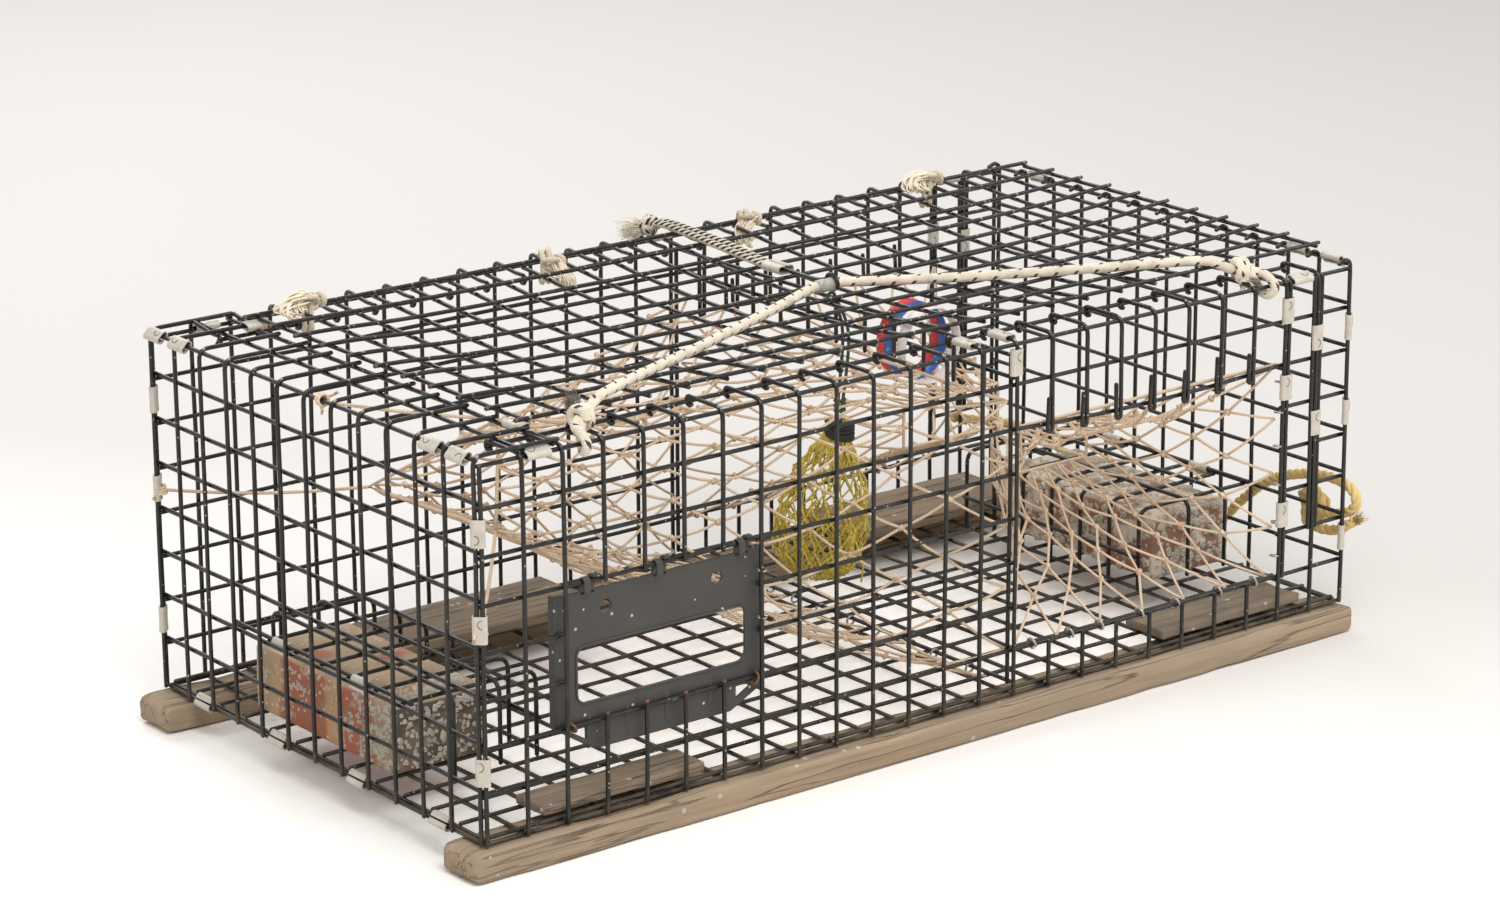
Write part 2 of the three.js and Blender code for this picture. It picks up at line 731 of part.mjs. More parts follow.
const parlourRimX = partitionX - wireHalf - clearance - twineHalf * rimShare;
const parlourRimY = partitionEdge;
const parlourRim = [
  [parlourRimX, parlourRimY, partitionBottom],
  [parlourRimX, -parlourRimY, partitionBottom],
  [parlourRimX, -parlourRimY, gridZ(partitionBand)],
  [parlourRimX, parlourRimY, gridZ(partitionBand)],
];
const parlourThroatX = gridX(3.5);
const parlourThroat = [
  [parlourThroatX, gridY(9.15), gridZ(4.57)],
  [parlourThroatX, gridY(4.4), gridZ(4.77)],
  [parlourThroatX, gridY(4.2), gridZ(7.25)],
];
addPiece("parlour_head_net", headNet(parlourRim, parlourThroat, parlourMeshes, netLean), "twine");

// Twines that hold the throats open, each clear of the ring and the wire it is tied to
function stay(from, to, startGap, endGap) {
  const length = Math.hypot(...to.map((value, axis) => value - from[axis]));
  const low = mixPoint(from, to, startGap / length);
  const high = mixPoint(from, to, 1 - endGap / length);
  return wire([low, high], twineHalf);
}

const tieGap = 1.6 * twineHalf;
const rearTieGap = 2.2 * twineHalf;
const postGap = wireHalf + 2 * clearance;
const postX = -(faceX - freeStep);
const postY = gridY(cellsDeep);
addPiece("rear_stay", stay(parlourThroat[0], [postX, postY, gridZ(4.5)], rearTieGap, postGap), "twine");
addPiece("front_stay", stay(parlourThroat[1], [postX, -postY, gridZ(4.5)], tieGap, postGap), "twine");
addPiece("top_stay", stay(parlourThroat[2], [postX, gridY(5.5), endRailZ], tieGap, postGap), "twine");
const frontThroat = entranceThroat(-1);
const rearThroat = entranceThroat(1);
addPiece("throat_twine", stay(frontThroat[1], rearThroat[1], tieGap, tieGap), "twine");

// Bait bag on its cord
const bagDepthShare = 0.43;
const bagX = partitionRowX + wireHalf + clearance + bagRadius * bagDepthShare;
const bagY = gridY(7.5);
const bagBottom = gridZ(0.4);
const bagProfile = [
  [0, 0], [0.55, 0.03], [0.9, 0.16], [1, 0.36], [0.82, 0.62], [0.5, 0.82], [0.2, 0.92], [0.2, 1], [0, 1],
];
const bagPoints = bagProfile.map(([across, up]) => new THREE.Vector2(across * bagRadius, up * bagHeight));
const bag = new THREE.LatheGeometry(bagPoints, 10);
bag.rotateX(Math.PI / 2);
bag.scale(bagDepthShare, 1, 1);
bag.translate(bagX, bagY, bagBottom);
addPiece("bait_bag", bag, "bait");

const hangY = gridY(6.3);
const hangShare = 1.1;
const hangRadius = (wireHalf + clearance + baitCordHalf) * hangShare;
const hangSteps = 8;
const hangLoop = [];
for (let s = 0; s < hangSteps; s += 1) {
  const turn = (2 * Math.PI * s) / hangSteps;
  hangLoop.push([
    partitionRowX + hangRadius * Math.cos(turn), hangY, partitionTop + hangRadius * Math.sin(turn),
  ]);
}
const neckZ = bagBottom + bagHeight + clearance;
const baitStrands = [-1, 1].map((way) => wire([
  [partitionRowX + hangRadius, hangY + way * baitCordHalf, partitionTop],
  [bagX, bagY + way * baitCordHalf, neckZ + baitCordHalf],
  [bagX, bagY + way * baitCordHalf, neckZ],
], baitCordHalf));
addPiece("bait_cord", joined([closedTube(hangLoop, baitCordHalf, 4), ...baitStrands]), "green");

// Bungee across the lid
const bungeeZ = doorTopZ + clearance + bungeeRadius;
const apexX = gridX(13.3);
const apexY = gridY(5.5);
const apexReach = sleeveLength / 2 + bungeeRadius;
const apexZ = bungeeZ - doorDrop(13.3, 5.5);

const wrapShare = 1.15;

function bungeeEnd(column) {
  const x = gridX(column);
  const railY = -(faceY - weldStep);
  const wrap = (wireHalf + clearance + bungeeRadius) * wrapShare;
  return [
    [x, gridY(0.9), bungeeZ],
    [x, railY + wrap, railZ + wrap + bungeeRadius],
    [x, railY - wrap / 2, railZ + wrap],
    [x, railY - wrap, railZ],
    [x, railY - wrap / 2, railZ - wrap],
    [x, railY + wrap / 2, railZ - wrap],
  ];
}

const bungeePoints = [
  ...bungeeEnd(2.5).reverse(),
  [apexX - apexReach, apexY, apexZ],
  [apexX + apexReach, apexY, apexZ],
  ...bungeeEnd(21.5),
];
addPiece("bungee_cord", roundTube(bungeePoints, bungeeRadius, 8), "cotton");

function tubeShape(outer, inner, sides) {
  const ring = (radius) => Array.from({ length: sides }, (unused, s) => {
    const turn = (2 * Math.PI * (s + 1 / 2)) / sides;
    return new THREE.Vector2(radius * Math.cos(turn), radius * Math.sin(turn));
  });
  const shape = new THREE.Shape(ring(outer));
  shape.holes.push(new THREE.Path(ring(inner)));
  return shape;
}

const sleeveInner = (bungeeRadius + clearance) / Math.cos(Math.PI / 8);
const sleeveOuter = sleeveInner + sleeveWall;
const sleeveShape = tubeShape(sleeveOuter, sleeveInner, 8);
const sleeve = new THREE.ExtrudeGeometry(sleeveShape, { depth: sleeveLength, bevelEnabled: false });
sleeve.translate(0, 0, -sleeveLength / 2);
sleeve.rotateY(Math.PI / 2);
sleeve.translate(apexX, apexY, apexZ);
addPiece("bungee_sleeve", sleeve, "cotton");

// Bent hook, ferrule and the doubled rope behind it
const hookX = gridX(13.45);
const hookRise = sleeveOuter + clearance + hookWireHalf;
const ferruleFrom = gridY(7.1);
const ropeRestZ = doorTopZ + clearance + braidRadius;
const ropeZ = ropeRestZ - doorDrop(13.45, 7.75);
const hookPoints = [
  [hookX, ferruleFrom + ferruleLength / 2 - clearance, ropeZ],
  [hookX, ferruleFrom - hookWireHalf, ropeZ],
  [hookX, apexY + hookRise, apexZ + hookRise / 2],
  [hookX, apexY + hookRise / 2, apexZ + hookRise],
  [hookX, apexY - hookRise / 2, apexZ + hookRise],
  [hookX, apexY - hookRise, apexZ + hookRise / 2],
  [hookX, apexY - hookRise, apexZ - hookRise / 4],
];
addPiece("latch_hook", wire(hookPoints, hookWireHalf), "wire");

function sleeveHexagon(halfLong, halfShort, wall) {
  const outline = (long, flat, short) => [
    [long, 0], [flat, short], [-flat, short], [-long, 0], [-flat, -short], [flat, -short],
  ].map(([u, v]) => new THREE.Vector2(u, v));
  const long = halfLong + halfShort + 2 * clearance;
  const flat = halfLong + clearance;
  const short = halfShort + 2 * clearance;
  const shape = new THREE.Shape(outline(long + 1.4 * wall, flat + wall / 2, short + wall));
  shape.holes.push(new THREE.Path(outline(long, flat, short)));
  return shape;
}

// A crimped sleeve: u is the way its pair of wires is spread, w is the way it runs
function crimpGeometry(center, spread, along, halfLong, halfShort, length, wall) {
  const shape = sleeveHexagon(halfLong, halfShort, wall);
  const geometry = new THREE.ExtrudeGeometry(shape, { depth: length, bevelEnabled: false });
  geometry.translate(0, 0, -length / 2);
  const u = new THREE.Vector3(...spread).normalize();
  const w = new THREE.Vector3(...along).normalize();
  const v = new THREE.Vector3().crossVectors(w, u);
  geometry.applyMatrix4(new THREE.Matrix4().makeBasis(u, v, w));
  geometry.translate(center[0], center[1], center[2]);
  return geometry;
}

const ferruleCenter = [hookX, ferruleFrom + ferruleLength / 2, ropeZ];
const ferruleBore = braidRadius;
addPiece("latch_ferrule", crimpGeometry(
  ferruleCenter, [1, 0, 0], [0, 1, 0], ferruleBore, ferruleBore, ferruleLength, crimpWall,
), "aluminium");

const ropeKnotY = gridY(11.75);
const ropeKnotZ = flangeZ + wireHalf + clearance + 2 * tieKnotRadius;
const ropeStrands = [-1, 1].map((way) => roundTube([
  [hookX + way * braidRadius * 0.9, ferruleFrom + ferruleLength / 2 + clearance, ropeZ],
  [hookX + way * braidRadius * 0.9, ferruleFrom + ferruleLength, ropeZ],
  [gridX(13.2) + way * braidRadius * 0.9, gridY(11.2), ropeRestZ],
  [gridX(13.1) + way * braidRadius * 0.9, ropeKnotY, ropeKnotZ],
], braidRadius, 6));
const ropeKnot = lump([gridX(13.1), ropeKnotY, ropeKnotZ], [2, 2, 1.8].map((share) => share * tieKnotRadius));
addPiece("latch_rope", joined([...ropeStrands, ropeKnot]), "cotton");

// Rope hinges round the rear edge wire of the lid and the edge wire below it
const hingeY = gridY(doorRearRow);
const tieShare = 1.2;
const hingeColumns = [3.5, 9.5, 15.5, 20.5];
function hingeTie(column) {
  const reach = (wireHalf + clearance + tieRadius) * tieShare;
  const loop = [];
  const turns = [0, 60, 120, 180].map((angle) => (angle / 180) * Math.PI);
  for (const turn of turns) {
    loop.push([gridX(column), hingeY + reach * Math.cos(turn), doorPivotZ + reach * Math.sin(turn)]);
  }
  for (const turn of turns) {
    loop.push([gridX(column), hingeY - reach * Math.cos(turn), railZ - reach * Math.sin(turn)]);
  }
  const knotY = hingeY + reach + tieKnotRadius - tieRadius;
  const knot = lump([gridX(column), knotY, mix(railZ, doorPivotZ, 0.35)], [1, 1, 1].map((share) => share * tieKnotRadius), 0);
  return joined([closedTube(loop, tieRadius, 4), knot]);
}
hingeColumns.forEach((column, at) => addPiece(`hinge_tie_${at + 1}`, hingeTie(column), "cotton"));

// Yellow rope bridle outside the right end, from a knot near the front to the rear corner
const bridleX = faceX + wireHalf + clearance + bridleRadius + bridleStandoff;
const bridleY = faceY + wireHalf + clearance + bridleRadius + bridleStandoff;
const bridleLine = [
  [1.2, 1.95], [0.5, 1.9], [-0.15, 2.2], [-0.1, 2.6], [0.6, 2.75], [1.6, 2.6], [2.6, 2.2], [3.5, 1.5], [4.1, 0.9],
  [4.7, 0.4], [6, 0.25], [8, 0.45], [9.4, 1.05], [10.6, 1.45], [12.15, 1.4],
];
const bridleTail = [[1.4, 1.9], [1.3, 1.5], [0.5, 1.5], [-0.2, 1.9]];
const bridlePath = (line) => line.map(([j, k]) => [bridleX, gridY(j), gridZ(k)]);
const bridleEnd = [[gridX(24.15), bridleY, gridZ(1.42)], [gridX(22.9), bridleY, gridZ(1.75)]];
const bridleKnotShare = 0.7;
const bridleKnot = lump(
  [faceX + wireHalf + clearance + bridleKnotShare * bridleKnotRadius, gridY(1.2), gridZ(1.95)],
  [bridleKnotShare * bridleKnotRadius, bridleKnotRadius, bridleKnotRadius],
);
addPiece("bridle_rope", joined([
  roundTube([...bridlePath(bridleLine), ...bridleEnd], bridleRadius, 6),
  roundTube(bridlePath(bridleTail), bridleRadius, 6),
  bridleKnot,
]), "yellow");

// Tag bands hung on the partition
const bandX = partitionRowX + bandReach - wireHalf - 4 * clearance - bandWall;
const bandColumns = { tag_band_red: 4.46, tag_band_white: 3.75, tag_band_blue: 4.2 };
for (const [name, column] of Object.entries(bandColumns)) {
  const shape = new THREE.Shape();
  const ringOf = (reach, drop) => Array.from({ length: 16 }, (unused, s) => {
    const turn = (2 * Math.PI * s) / 16;
    return new THREE.Vector2(reach * Math.cos(turn), drop * Math.sin(turn));
  });
  shape.setFromPoints(ringOf(bandReach, bandDrop));
  shape.holes.push(new THREE.Path(ringOf(bandReach - bandWall, bandDrop - bandWall)));
  const band = new THREE.ExtrudeGeometry(shape, { depth: bandWidth, bevelEnabled: false });
  band.translate(0, 0, -bandWidth / 2);
  band.rotateX(Math.PI / 2);
  band.translate(bandX, gridY(column), partitionSecond - bandDrop / 5);
  addPiece(name, band, name.split("_").pop());
}

// Crimps
const squareHalf = wireHalf / Math.SQRT2;
const cornerSpread = (2 * wireHalf - frameShift) / Math.SQRT2;
const cornerMiddle = wireHalf - frameShift / 2;
const cornerLevels = [6.56, 4.56, 1.56];
for (const [name, sideX, sideY] of [
  ["front_left", -1, -1], ["rear_left", -1, 1], ["front_right", 1, -1],
]) {
  cornerLevels.forEach((level, at) => {
    const center = [
      sideX * (gridX(cellsLong) + cornerMiddle), sideY * (gridY(cellsDeep) + cornerMiddle), gridZ(level),
    ];
    const spread = [sideX, -sideY, 0];
    addPiece(`${name}_crimp_${at + 1}`, crimpGeometry(
      center, spread, [0, 0, 1], cornerSpread + squareHalf, squareHalf, crimpLength, crimpWall,
    ), "aluminium");
  });
}

// Stand the trap on the middle of its base
const bounds = new THREE.Box3().setFromObject(group);
group.position.set(
  -(bounds.min.x + bounds.max.x) / 2, -(bounds.min.y + bounds.max.y) / 2, -bounds.min.z,
);

export default group;
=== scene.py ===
import random
from math import atan2, copysign, cos, pi, radians, sin, tan

import bpy
from mathutils import Matrix, Vector, noise


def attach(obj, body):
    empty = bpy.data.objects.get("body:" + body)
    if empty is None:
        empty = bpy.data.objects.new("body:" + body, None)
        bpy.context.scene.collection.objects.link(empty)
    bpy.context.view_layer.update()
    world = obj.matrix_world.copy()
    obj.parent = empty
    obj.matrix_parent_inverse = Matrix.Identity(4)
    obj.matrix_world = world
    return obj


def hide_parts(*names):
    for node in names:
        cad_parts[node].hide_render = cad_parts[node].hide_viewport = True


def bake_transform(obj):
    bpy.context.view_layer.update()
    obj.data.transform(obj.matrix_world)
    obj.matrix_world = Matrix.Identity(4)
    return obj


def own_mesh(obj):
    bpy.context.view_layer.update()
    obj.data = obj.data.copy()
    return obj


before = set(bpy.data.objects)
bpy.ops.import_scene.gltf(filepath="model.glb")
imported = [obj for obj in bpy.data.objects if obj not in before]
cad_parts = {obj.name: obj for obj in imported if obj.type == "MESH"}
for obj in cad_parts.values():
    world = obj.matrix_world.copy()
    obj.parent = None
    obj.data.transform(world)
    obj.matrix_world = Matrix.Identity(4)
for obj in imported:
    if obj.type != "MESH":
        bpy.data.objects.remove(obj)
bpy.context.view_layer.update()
bpy.ops.object.select_all(action="DESELECT")

# The mesh box counts 24 x 12 x 8 cells and stands a little off the middle of the frame
mesh = {
    "cell": 0.0381, "long": 24, "deep": 12, "high": 8, "shift": Vector((-0.0021625, -0.0018475, 0.0273)),
    "wireRadius": 0.0019, "wireEdge": 0.0023, "weldStep": 0.0036, "freeStep": 0.0043, "rowStub": 0.001,
    "skin": 0.004, "floorRise": 0.0066, "partitionColumn": 14, "partitionDrop": 0.0073, "partitionEdge": 0.224,
}
cell, wireEdge, weld, free, rowStub, partitionEdge = (
    mesh[key] for key in ("cell", "wireEdge", "weldStep", "freeStep", "rowStub", "partitionEdge"))
lift = free - weld
twineRadius, rimRadius = 0.0014, 0.0014 * 1.2


def gx(i):
    return (i - mesh["long"] / 2) * cell + mesh["shift"].x


def gy(j):
    return (j - mesh["deep"] / 2) * cell + mesh["shift"].y


def gz(k):
    return k * cell + mesh["shift"].z


def spot(i, j, k):
    return Vector((gx(i), gy(j), gz(k)))


def outX(value):
    return value + mesh["shift"].x


def outY(value):
    return value + mesh["shift"].y


# Faces and levels that the pieces share
faceX = mesh["long"] / 2 * cell + mesh["skin"]
faceY = mesh["deep"] / 2 * cell + mesh["skin"]
flangeZ = gz(mesh["high"])
railZ = flangeZ - weld
endRailZ = railZ + free
endFlangeZ = endRailZ + weld
doorZ = endFlangeZ + free
doorPivotZ = doorZ + weld - lift
doorTopZ = doorZ + weld + 0.0023
floorRest = gz(0) + mesh["floorRise"]
partitionX = gx(mesh["partitionColumn"])
partitionRowX = partitionX + weld
partitionTop = railZ - free - mesh["partitionDrop"]

camera = {
    "place": (-2.339539, -2.937786, 1.347648), "azimuth": -38.309, "elevation": 17.115, "roll": -0.230,
    "lens": 111.27, "sensor": 36.0, "reach": 60.0,
}


def addCamera():
    turn, rise, roll = (radians(camera[key]) for key in ("azimuth", "elevation", "roll"))
    back = Vector((sin(turn) * cos(rise), -cos(turn) * cos(rise), sin(rise)))
    side = (-back).cross(Vector((0, 0, 1))).normalized()
    top = side.cross(-back)
    right = cos(roll) * side + sin(roll) * top
    up = -sin(roll) * side + cos(roll) * top
    bpy.ops.object.camera_add(location=camera["place"])
    made = bpy.context.active_object
    made.matrix_world = Matrix.Translation(camera["place"]) @ Matrix((right, up, back)).transposed().to_4x4()
    made.data.lens, made.data.sensor_width = camera["lens"], camera["sensor"]
    made.data.clip_end = camera["reach"]
    bpy.context.scene.camera = made


addCamera()
print("camera in place")


# Shader helpers. A colour given as three numbers gets its fourth one when it is fed to a socket
def feed(tree, node, links):
    for label, source in links.items():
        socket = node.inputs[label]
        if isinstance(source, bpy.types.NodeSocket):
            tree.links.new(source, socket)
        else:
            socket.default_value = (*source, 1.0) if socket.type == "RGBA" else source
    return node.outputs


def put(tree, kind, links, **settings):
    node = tree.nodes.new("ShaderNode" + kind)
    for key, value in settings.items():
        setattr(node, key, value)
    return feed(tree, node, links)


def mixed(tree, factor, first, second):
    return put(tree, "Mix", {0: factor, 6: first, 7: second}, data_type="RGBA")[2]


def calc(tree, way, first, second=0.0):
    return put(tree, "Math", {0: first, 1: second}, operation=way)[0]


def add(tree, first, second):
    return calc(tree, "ADD", first, second)


def times(tree, first, second):
    return calc(tree, "MULTIPLY", first, second)


def span(tree, value, low, high, start=0.0, end=1.0):
    links = {"Value": value, "From Min": low, "From Max": high, "To Min": start, "To Max": end}
    return put(tree, "MapRange", links)["Result"]


def ownPlace(tree):
    return put(tree, "TexCoord", {})["Object"]


def split(tree, vector):
    return put(tree, "SeparateXYZ", {"Vector": vector})


def cloud(tree, scale, detail=4.0, roughness=0.5, where=None, distortion=0.0):
    where = ownPlace(tree) if where is None else where
    return put(tree, "TexNoise", {"Vector": where, "Scale": scale, "Detail": detail, "Roughness": roughness,
                                  "Distortion": distortion})["Fac"]


# The UV map of a cord holds the metres along it and the share of a turn round it
def cordRun(tree):
    return split(tree, put(tree, "UVMap", {}, uv_map="UVMap")["UV"])


def ripple(tree, run, pitch, turns):
    phase = add(tree, times(tree, run[0], pitch), times(tree, run[1], turns))
    return calc(tree, "ABSOLUTE", calc(tree, "SINE", times(tree, phase, pi)))


# Effects that several finishes share
def mottleLook(tree, given):
    low, high = (calc(tree, way, given["Level"], given["Softness"]) for way in ("SUBTRACT", "ADD"))
    mask = span(tree, cloud(tree, given["Scale"], detail=7.0, roughness=0.62), low, high)
    return {"Color": mixed(tree, mask, given["Base"], given["Patch"]), "Mask": mask}


def specksLook(tree, given):
    cells = put(tree, "TexVoronoi", {"Vector": ownPlace(tree), "Scale": given["Scale"], "Randomness": 1.0})
    pick = put(tree, "SeparateColor", {"Color": cells["Color"]})[0]
    near = calc(tree, "LESS_THAN", cells["Distance"], given["Size"])
    mask = times(tree, near, calc(tree, "LESS_THAN", pick, given["Share"]))
    return {"Color": mixed(tree, mask, given["Base"], given["Speck"])}


woodGrain = {
    "broad": {"reach": (3.2, 46.0, 46.0), "scale": 1.6, "detail": 8.0, "roughness": 0.65, "distortion": 0.7},
    "fibre": {"reach": (7.0, 260.0, 260.0), "scale": 1.0, "detail": 5.0, "roughness": 0.7},
    "split": {"reach": (2.0, 60.0, 60.0), "scale": 1.3, "detail": 3.0, "roughness": 0.5},
    "fibreShare": 0.55, "crackFrom": 0.02, "crackTo": 0.004, "crackShare": 0.8,
}


def grainLook(tree, given):
    where = ownPlace(tree)

    def drawn(reach, **settings):
        return cloud(tree, where=put(tree, "Mapping", {"Vector": where, "Scale": reach})[0], **settings)

    broad, fibre, crack = (drawn(**woodGrain[key]) for key in ("broad", "fibre", "split"))
    tone, fine = (mixed(tree, span(tree, value, *ends), given["Dark"], given["Light"])
                  for value, ends in ((broad, (0.32, 0.68)), (fibre, (0.3, 0.7))))
    tone = mixed(tree, woodGrain["fibreShare"], tone, fine)
    crack = span(tree, calc(tree, "ABSOLUTE", calc(tree, "SUBTRACT", crack, 0.5)),
                 woodGrain["crackTo"], woodGrain["crackFrom"], 1.0, 0.0)
    height = add(tree, times(tree, fibre, 0.5), times(tree, broad, 0.6))
    return {"Color": mixed(tree, times(tree, crack, woodGrain["crackShare"]), tone, given["Crack"]),
            "Height": calc(tree, "SUBTRACT", height, crack)}


# Painted shade: the valley colour darkens the grooves between the strands
def layLook(tree, given):
    wave = ripple(tree, cordRun(tree), given["Pitch"], given["Strands"])
    return {"Color": mixed(tree, span(tree, wave, 0.0, 0.6), given["Valley"], given["Base"]), "Height": wave}


colorSockets = ("Color", "Base", "Patch", "Speck", "Light", "Dark", "Crack", "Valley")


def newGroup(name, inputs, outputs, look):
    tree = bpy.data.node_groups.new(name, "ShaderNodeTree")
    for way, labels in (("INPUT", inputs), ("OUTPUT", outputs)):
        for label in labels.split():
            kind = "Color" if label in colorSockets else "Float"
            tree.interface.new_socket(label, in_out=way, socket_type="NodeSocket" + kind)
    given, made = tree.nodes.new("NodeGroupInput"), tree.nodes.new("NodeGroupOutput")
    feed(tree, made, look(tree, given.outputs))
    return tree


groups = {
    "mottle": newGroup("mottle", "Base Patch Scale Level Softness", "Color Mask", mottleLook),
    "specks": newGroup("specks", "Base Speck Scale Size Share", "Color", specksLook),
    "grain": newGroup("grain", "Light Dark Crack", "Color Height", grainLook),
    "lay": newGroup("lay", "Base Valley Pitch Strands", "Color Height", layLook),
}


def useGroup(tree, group, **links):
    node = tree.nodes.new("ShaderNodeGroup")
    node.node_tree = groups[group]
    return feed(tree, node, {label.capitalize(): source for label, source in links.items()})


def newFinish(name, roughness, metallic=0.0):
    material = bpy.data.materials.new(name)
    material.use_nodes = True
    tree = material.node_tree
    feed(tree, tree.nodes["Principled BSDF"], {"Roughness": roughness, "Metallic": metallic})
    return material, tree


def dressed(material, color, height, strength, distance, **more):
    tree = material.node_tree
    normal = put(tree, "Bump", {"Height": height, "Strength": strength, "Distance": distance})["Normal"]
    feed(tree, tree.nodes["Principled BSDF"], {"Base Color": color, "Normal": normal, **more})
    return material


wireCoat = {
    "coat": (0.0125, 0.0115, 0.0105), "dust": (0.05, 0.044, 0.036), "dustLevel": 0.64, "salt": (0.34, 0.32, 0.28),
    "saltShare": 0.035, "grime": (0.125, 0.096, 0.066), "grimeShare": 0.8, "roughness": 0.24,
    "nearCrossing": (0.05, 0.03), "glintLevels": (7.75, 7.95), "grimeLevels": (0.35, 0.0),
}


# Vinyl-coated wire: dusty, salted, with painted highlights at the crossings of the top and grimy at the bottom
def wireFinish(name, look):
    material, tree = newFinish(name, look["roughness"])
    color = useGroup(tree, "mottle", base=look["coat"], patch=look["dust"], scale=42.0, level=look["dustLevel"],
                     softness=0.12)
    salted = useGroup(tree, "specks", base=color["Color"], speck=look["salt"], scale=420.0, size=0.33,
                      share=look["saltShare"])["Color"]
    where = split(tree, ownPlace(tree))
    away = []
    for axis in (0, 1):
        steps = calc(tree, "DIVIDE", calc(tree, "SUBTRACT", where[axis], mesh["shift"][axis]), cell)
        share = calc(tree, "FRACT", add(tree, steps, 0.5))
        away.append(calc(tree, "POWER", calc(tree, "SUBTRACT", share, 0.5), 2.0))
    # Painted highlight: light specks in the salt colour on the crossings of the top wires stand for glints of light
    # on the welds
    near = span(tree, calc(tree, "SQRT", add(tree, *away)), *look["nearCrossing"])
    glint = times(tree, near, span(tree, where[2], *(gz(k) for k in look["glintLevels"])))
    glint = times(tree, glint, span(tree, cloud(tree, 70.0), 0.42, 0.56))
    low = span(tree, where[2], *(gz(k) for k in look["grimeLevels"]), 0.0, look["grimeShare"])
    grimy = times(tree, low, span(tree, cloud(tree, 55.0), 0.35, 0.6))
    color = {"Mask": color["Mask"], "Color": mixed(tree, glint, salted, look["salt"])}
    rough = add(tree, times(tree, color["Mask"], 0.25), times(tree, grimy, 0.35))
    return dressed(material, mixed(tree, grimy, color["Color"], look["grime"]), cloud(tree, 520.0), 0.35, 0.0006,
                   Roughness=add(tree, rough, look["roughness"]))


def woodFinish(name, light, dark, crack, stain, stainLevel):
    material, tree = newFinish(name, 0.85)
    wood = useGroup(tree, "grain", light=light, dark=dark, crack=crack)
    stained = useGroup(tree, "mottle", base=wood["Color"], patch=stain, scale=9.0, level=stainLevel, softness=0.16)
    flecked = useGroup(tree, "specks", base=stained["Color"], speck=(0.5, 0.47, 0.41), scale=140.0, size=0.3,
                       share=0.05)
    return dressed(material, flecked["Color"], wood["Height"], 0.6, 0.0016)


clayDirt = {"stain": (0.30, 0.215, 0.15), "top": (0.50, 0.40, 0.28), "sand": (0.62, 0.57, 0.48), "bandWaver": 0.022}


# Brick clay in bands along the brick, dusted on top and crusted in patches
def clayFinish(name, low, high, stops, crust, crustLevel):
    material, tree = newFinish(name, 0.92)
    edge = times(tree, calc(tree, "SUBTRACT", cloud(tree, 26.0), 0.5), clayDirt["bandWaver"])
    ramp = tree.nodes.new("ShaderNodeValToRGB")
    feed(tree, ramp, {0: span(tree, add(tree, split(tree, ownPlace(tree))[1], edge), low, high)})
    elements = ramp.color_ramp.elements
    for element, (at, tone) in ((elements[0], stops[0]), (elements[1], stops[-1])):
        element.position, element.color = at, (*tone, 1.0)
    for at, tone in stops[1:-1]:
        elements.new(at).color = (*tone, 1.0)
    dirty = useGroup(tree, "mottle", base=ramp.outputs[0], patch=clayDirt["stain"], scale=34.0, level=0.64,
                     softness=0.1)
    upward = span(tree, split(tree, put(tree, "NewGeometry", {})["Normal"])[2], 0.4, 0.8)
    dusted = times(tree, times(tree, upward, span(tree, cloud(tree, 30.0), 0.3, 0.5)), 0.85)
    crusted = useGroup(tree, "mottle", base=mixed(tree, dusted, dirty["Color"], clayDirt["top"]), patch=crust,
                       scale=62.0, level=crustLevel, softness=0.05)
    sandy = useGroup(tree, "specks", base=crusted["Color"], speck=clayDirt["sand"], scale=240.0, size=0.34,
                     share=0.14)
    rise = add(tree, times(tree, crusted["Mask"], 0.8), cloud(tree, 300.0))
    return dressed(material, sandy["Color"], rise, 0.5, 0.0015)


# Diagonal strands along a cord, with painted shade in the grooves between them, stained in patches
def twineFinish(name, base, valley, dirt, pitch=330.0, strands=2.0):
    material, tree = newFinish(name, 0.85)
    laid = useGroup(tree, "lay", base=base, valley=valley, pitch=pitch, strands=strands)
    dirty = useGroup(tree, "mottle", base=laid["Color"], patch=dirt, scale=24.0, level=0.6, softness=0.14)
    return dressed(material, dirty["Color"], add(tree, laid["Height"], cloud(tree, 900.0)), 0.7, 0.0005)


def metalFinish(name, base, dull, rust, rustLevel, roughness, metallic):
    material, tree = newFinish(name, roughness)
    faded = useGroup(tree, "mottle", base=base, patch=dull, scale=120.0, level=0.52, softness=0.2)
    rusty = useGroup(tree, "mottle", base=faded["Color"], patch=rust, scale=190.0, level=rustLevel, softness=0.07)
    return dressed(material, rusty["Color"], cloud(tree, 420.0), 0.3, 0.0006,
                   Metallic=span(tree, rusty["Mask"], 0.0, 1.0, metallic, 0.0),
                   Roughness=add(tree, times(tree, faded["Mask"], 0.2), roughness))


def plasticFinish(name, base, patch, speck, roughness, share=0.12):
    material, tree = newFinish(name, roughness)
    faded = useGroup(tree, "mottle", base=base, patch=patch, scale=28.0, level=0.54, softness=0.16)
    dotted = useGroup(tree, "specks", base=faded["Color"], speck=speck, scale=260.0, size=0.33, share=share)
    return dressed(material, dotted["Color"], cloud(tree, 380.0), 0.35, 0.0005,
                   Roughness=add(tree, times(tree, faded["Mask"], 0.2), roughness))


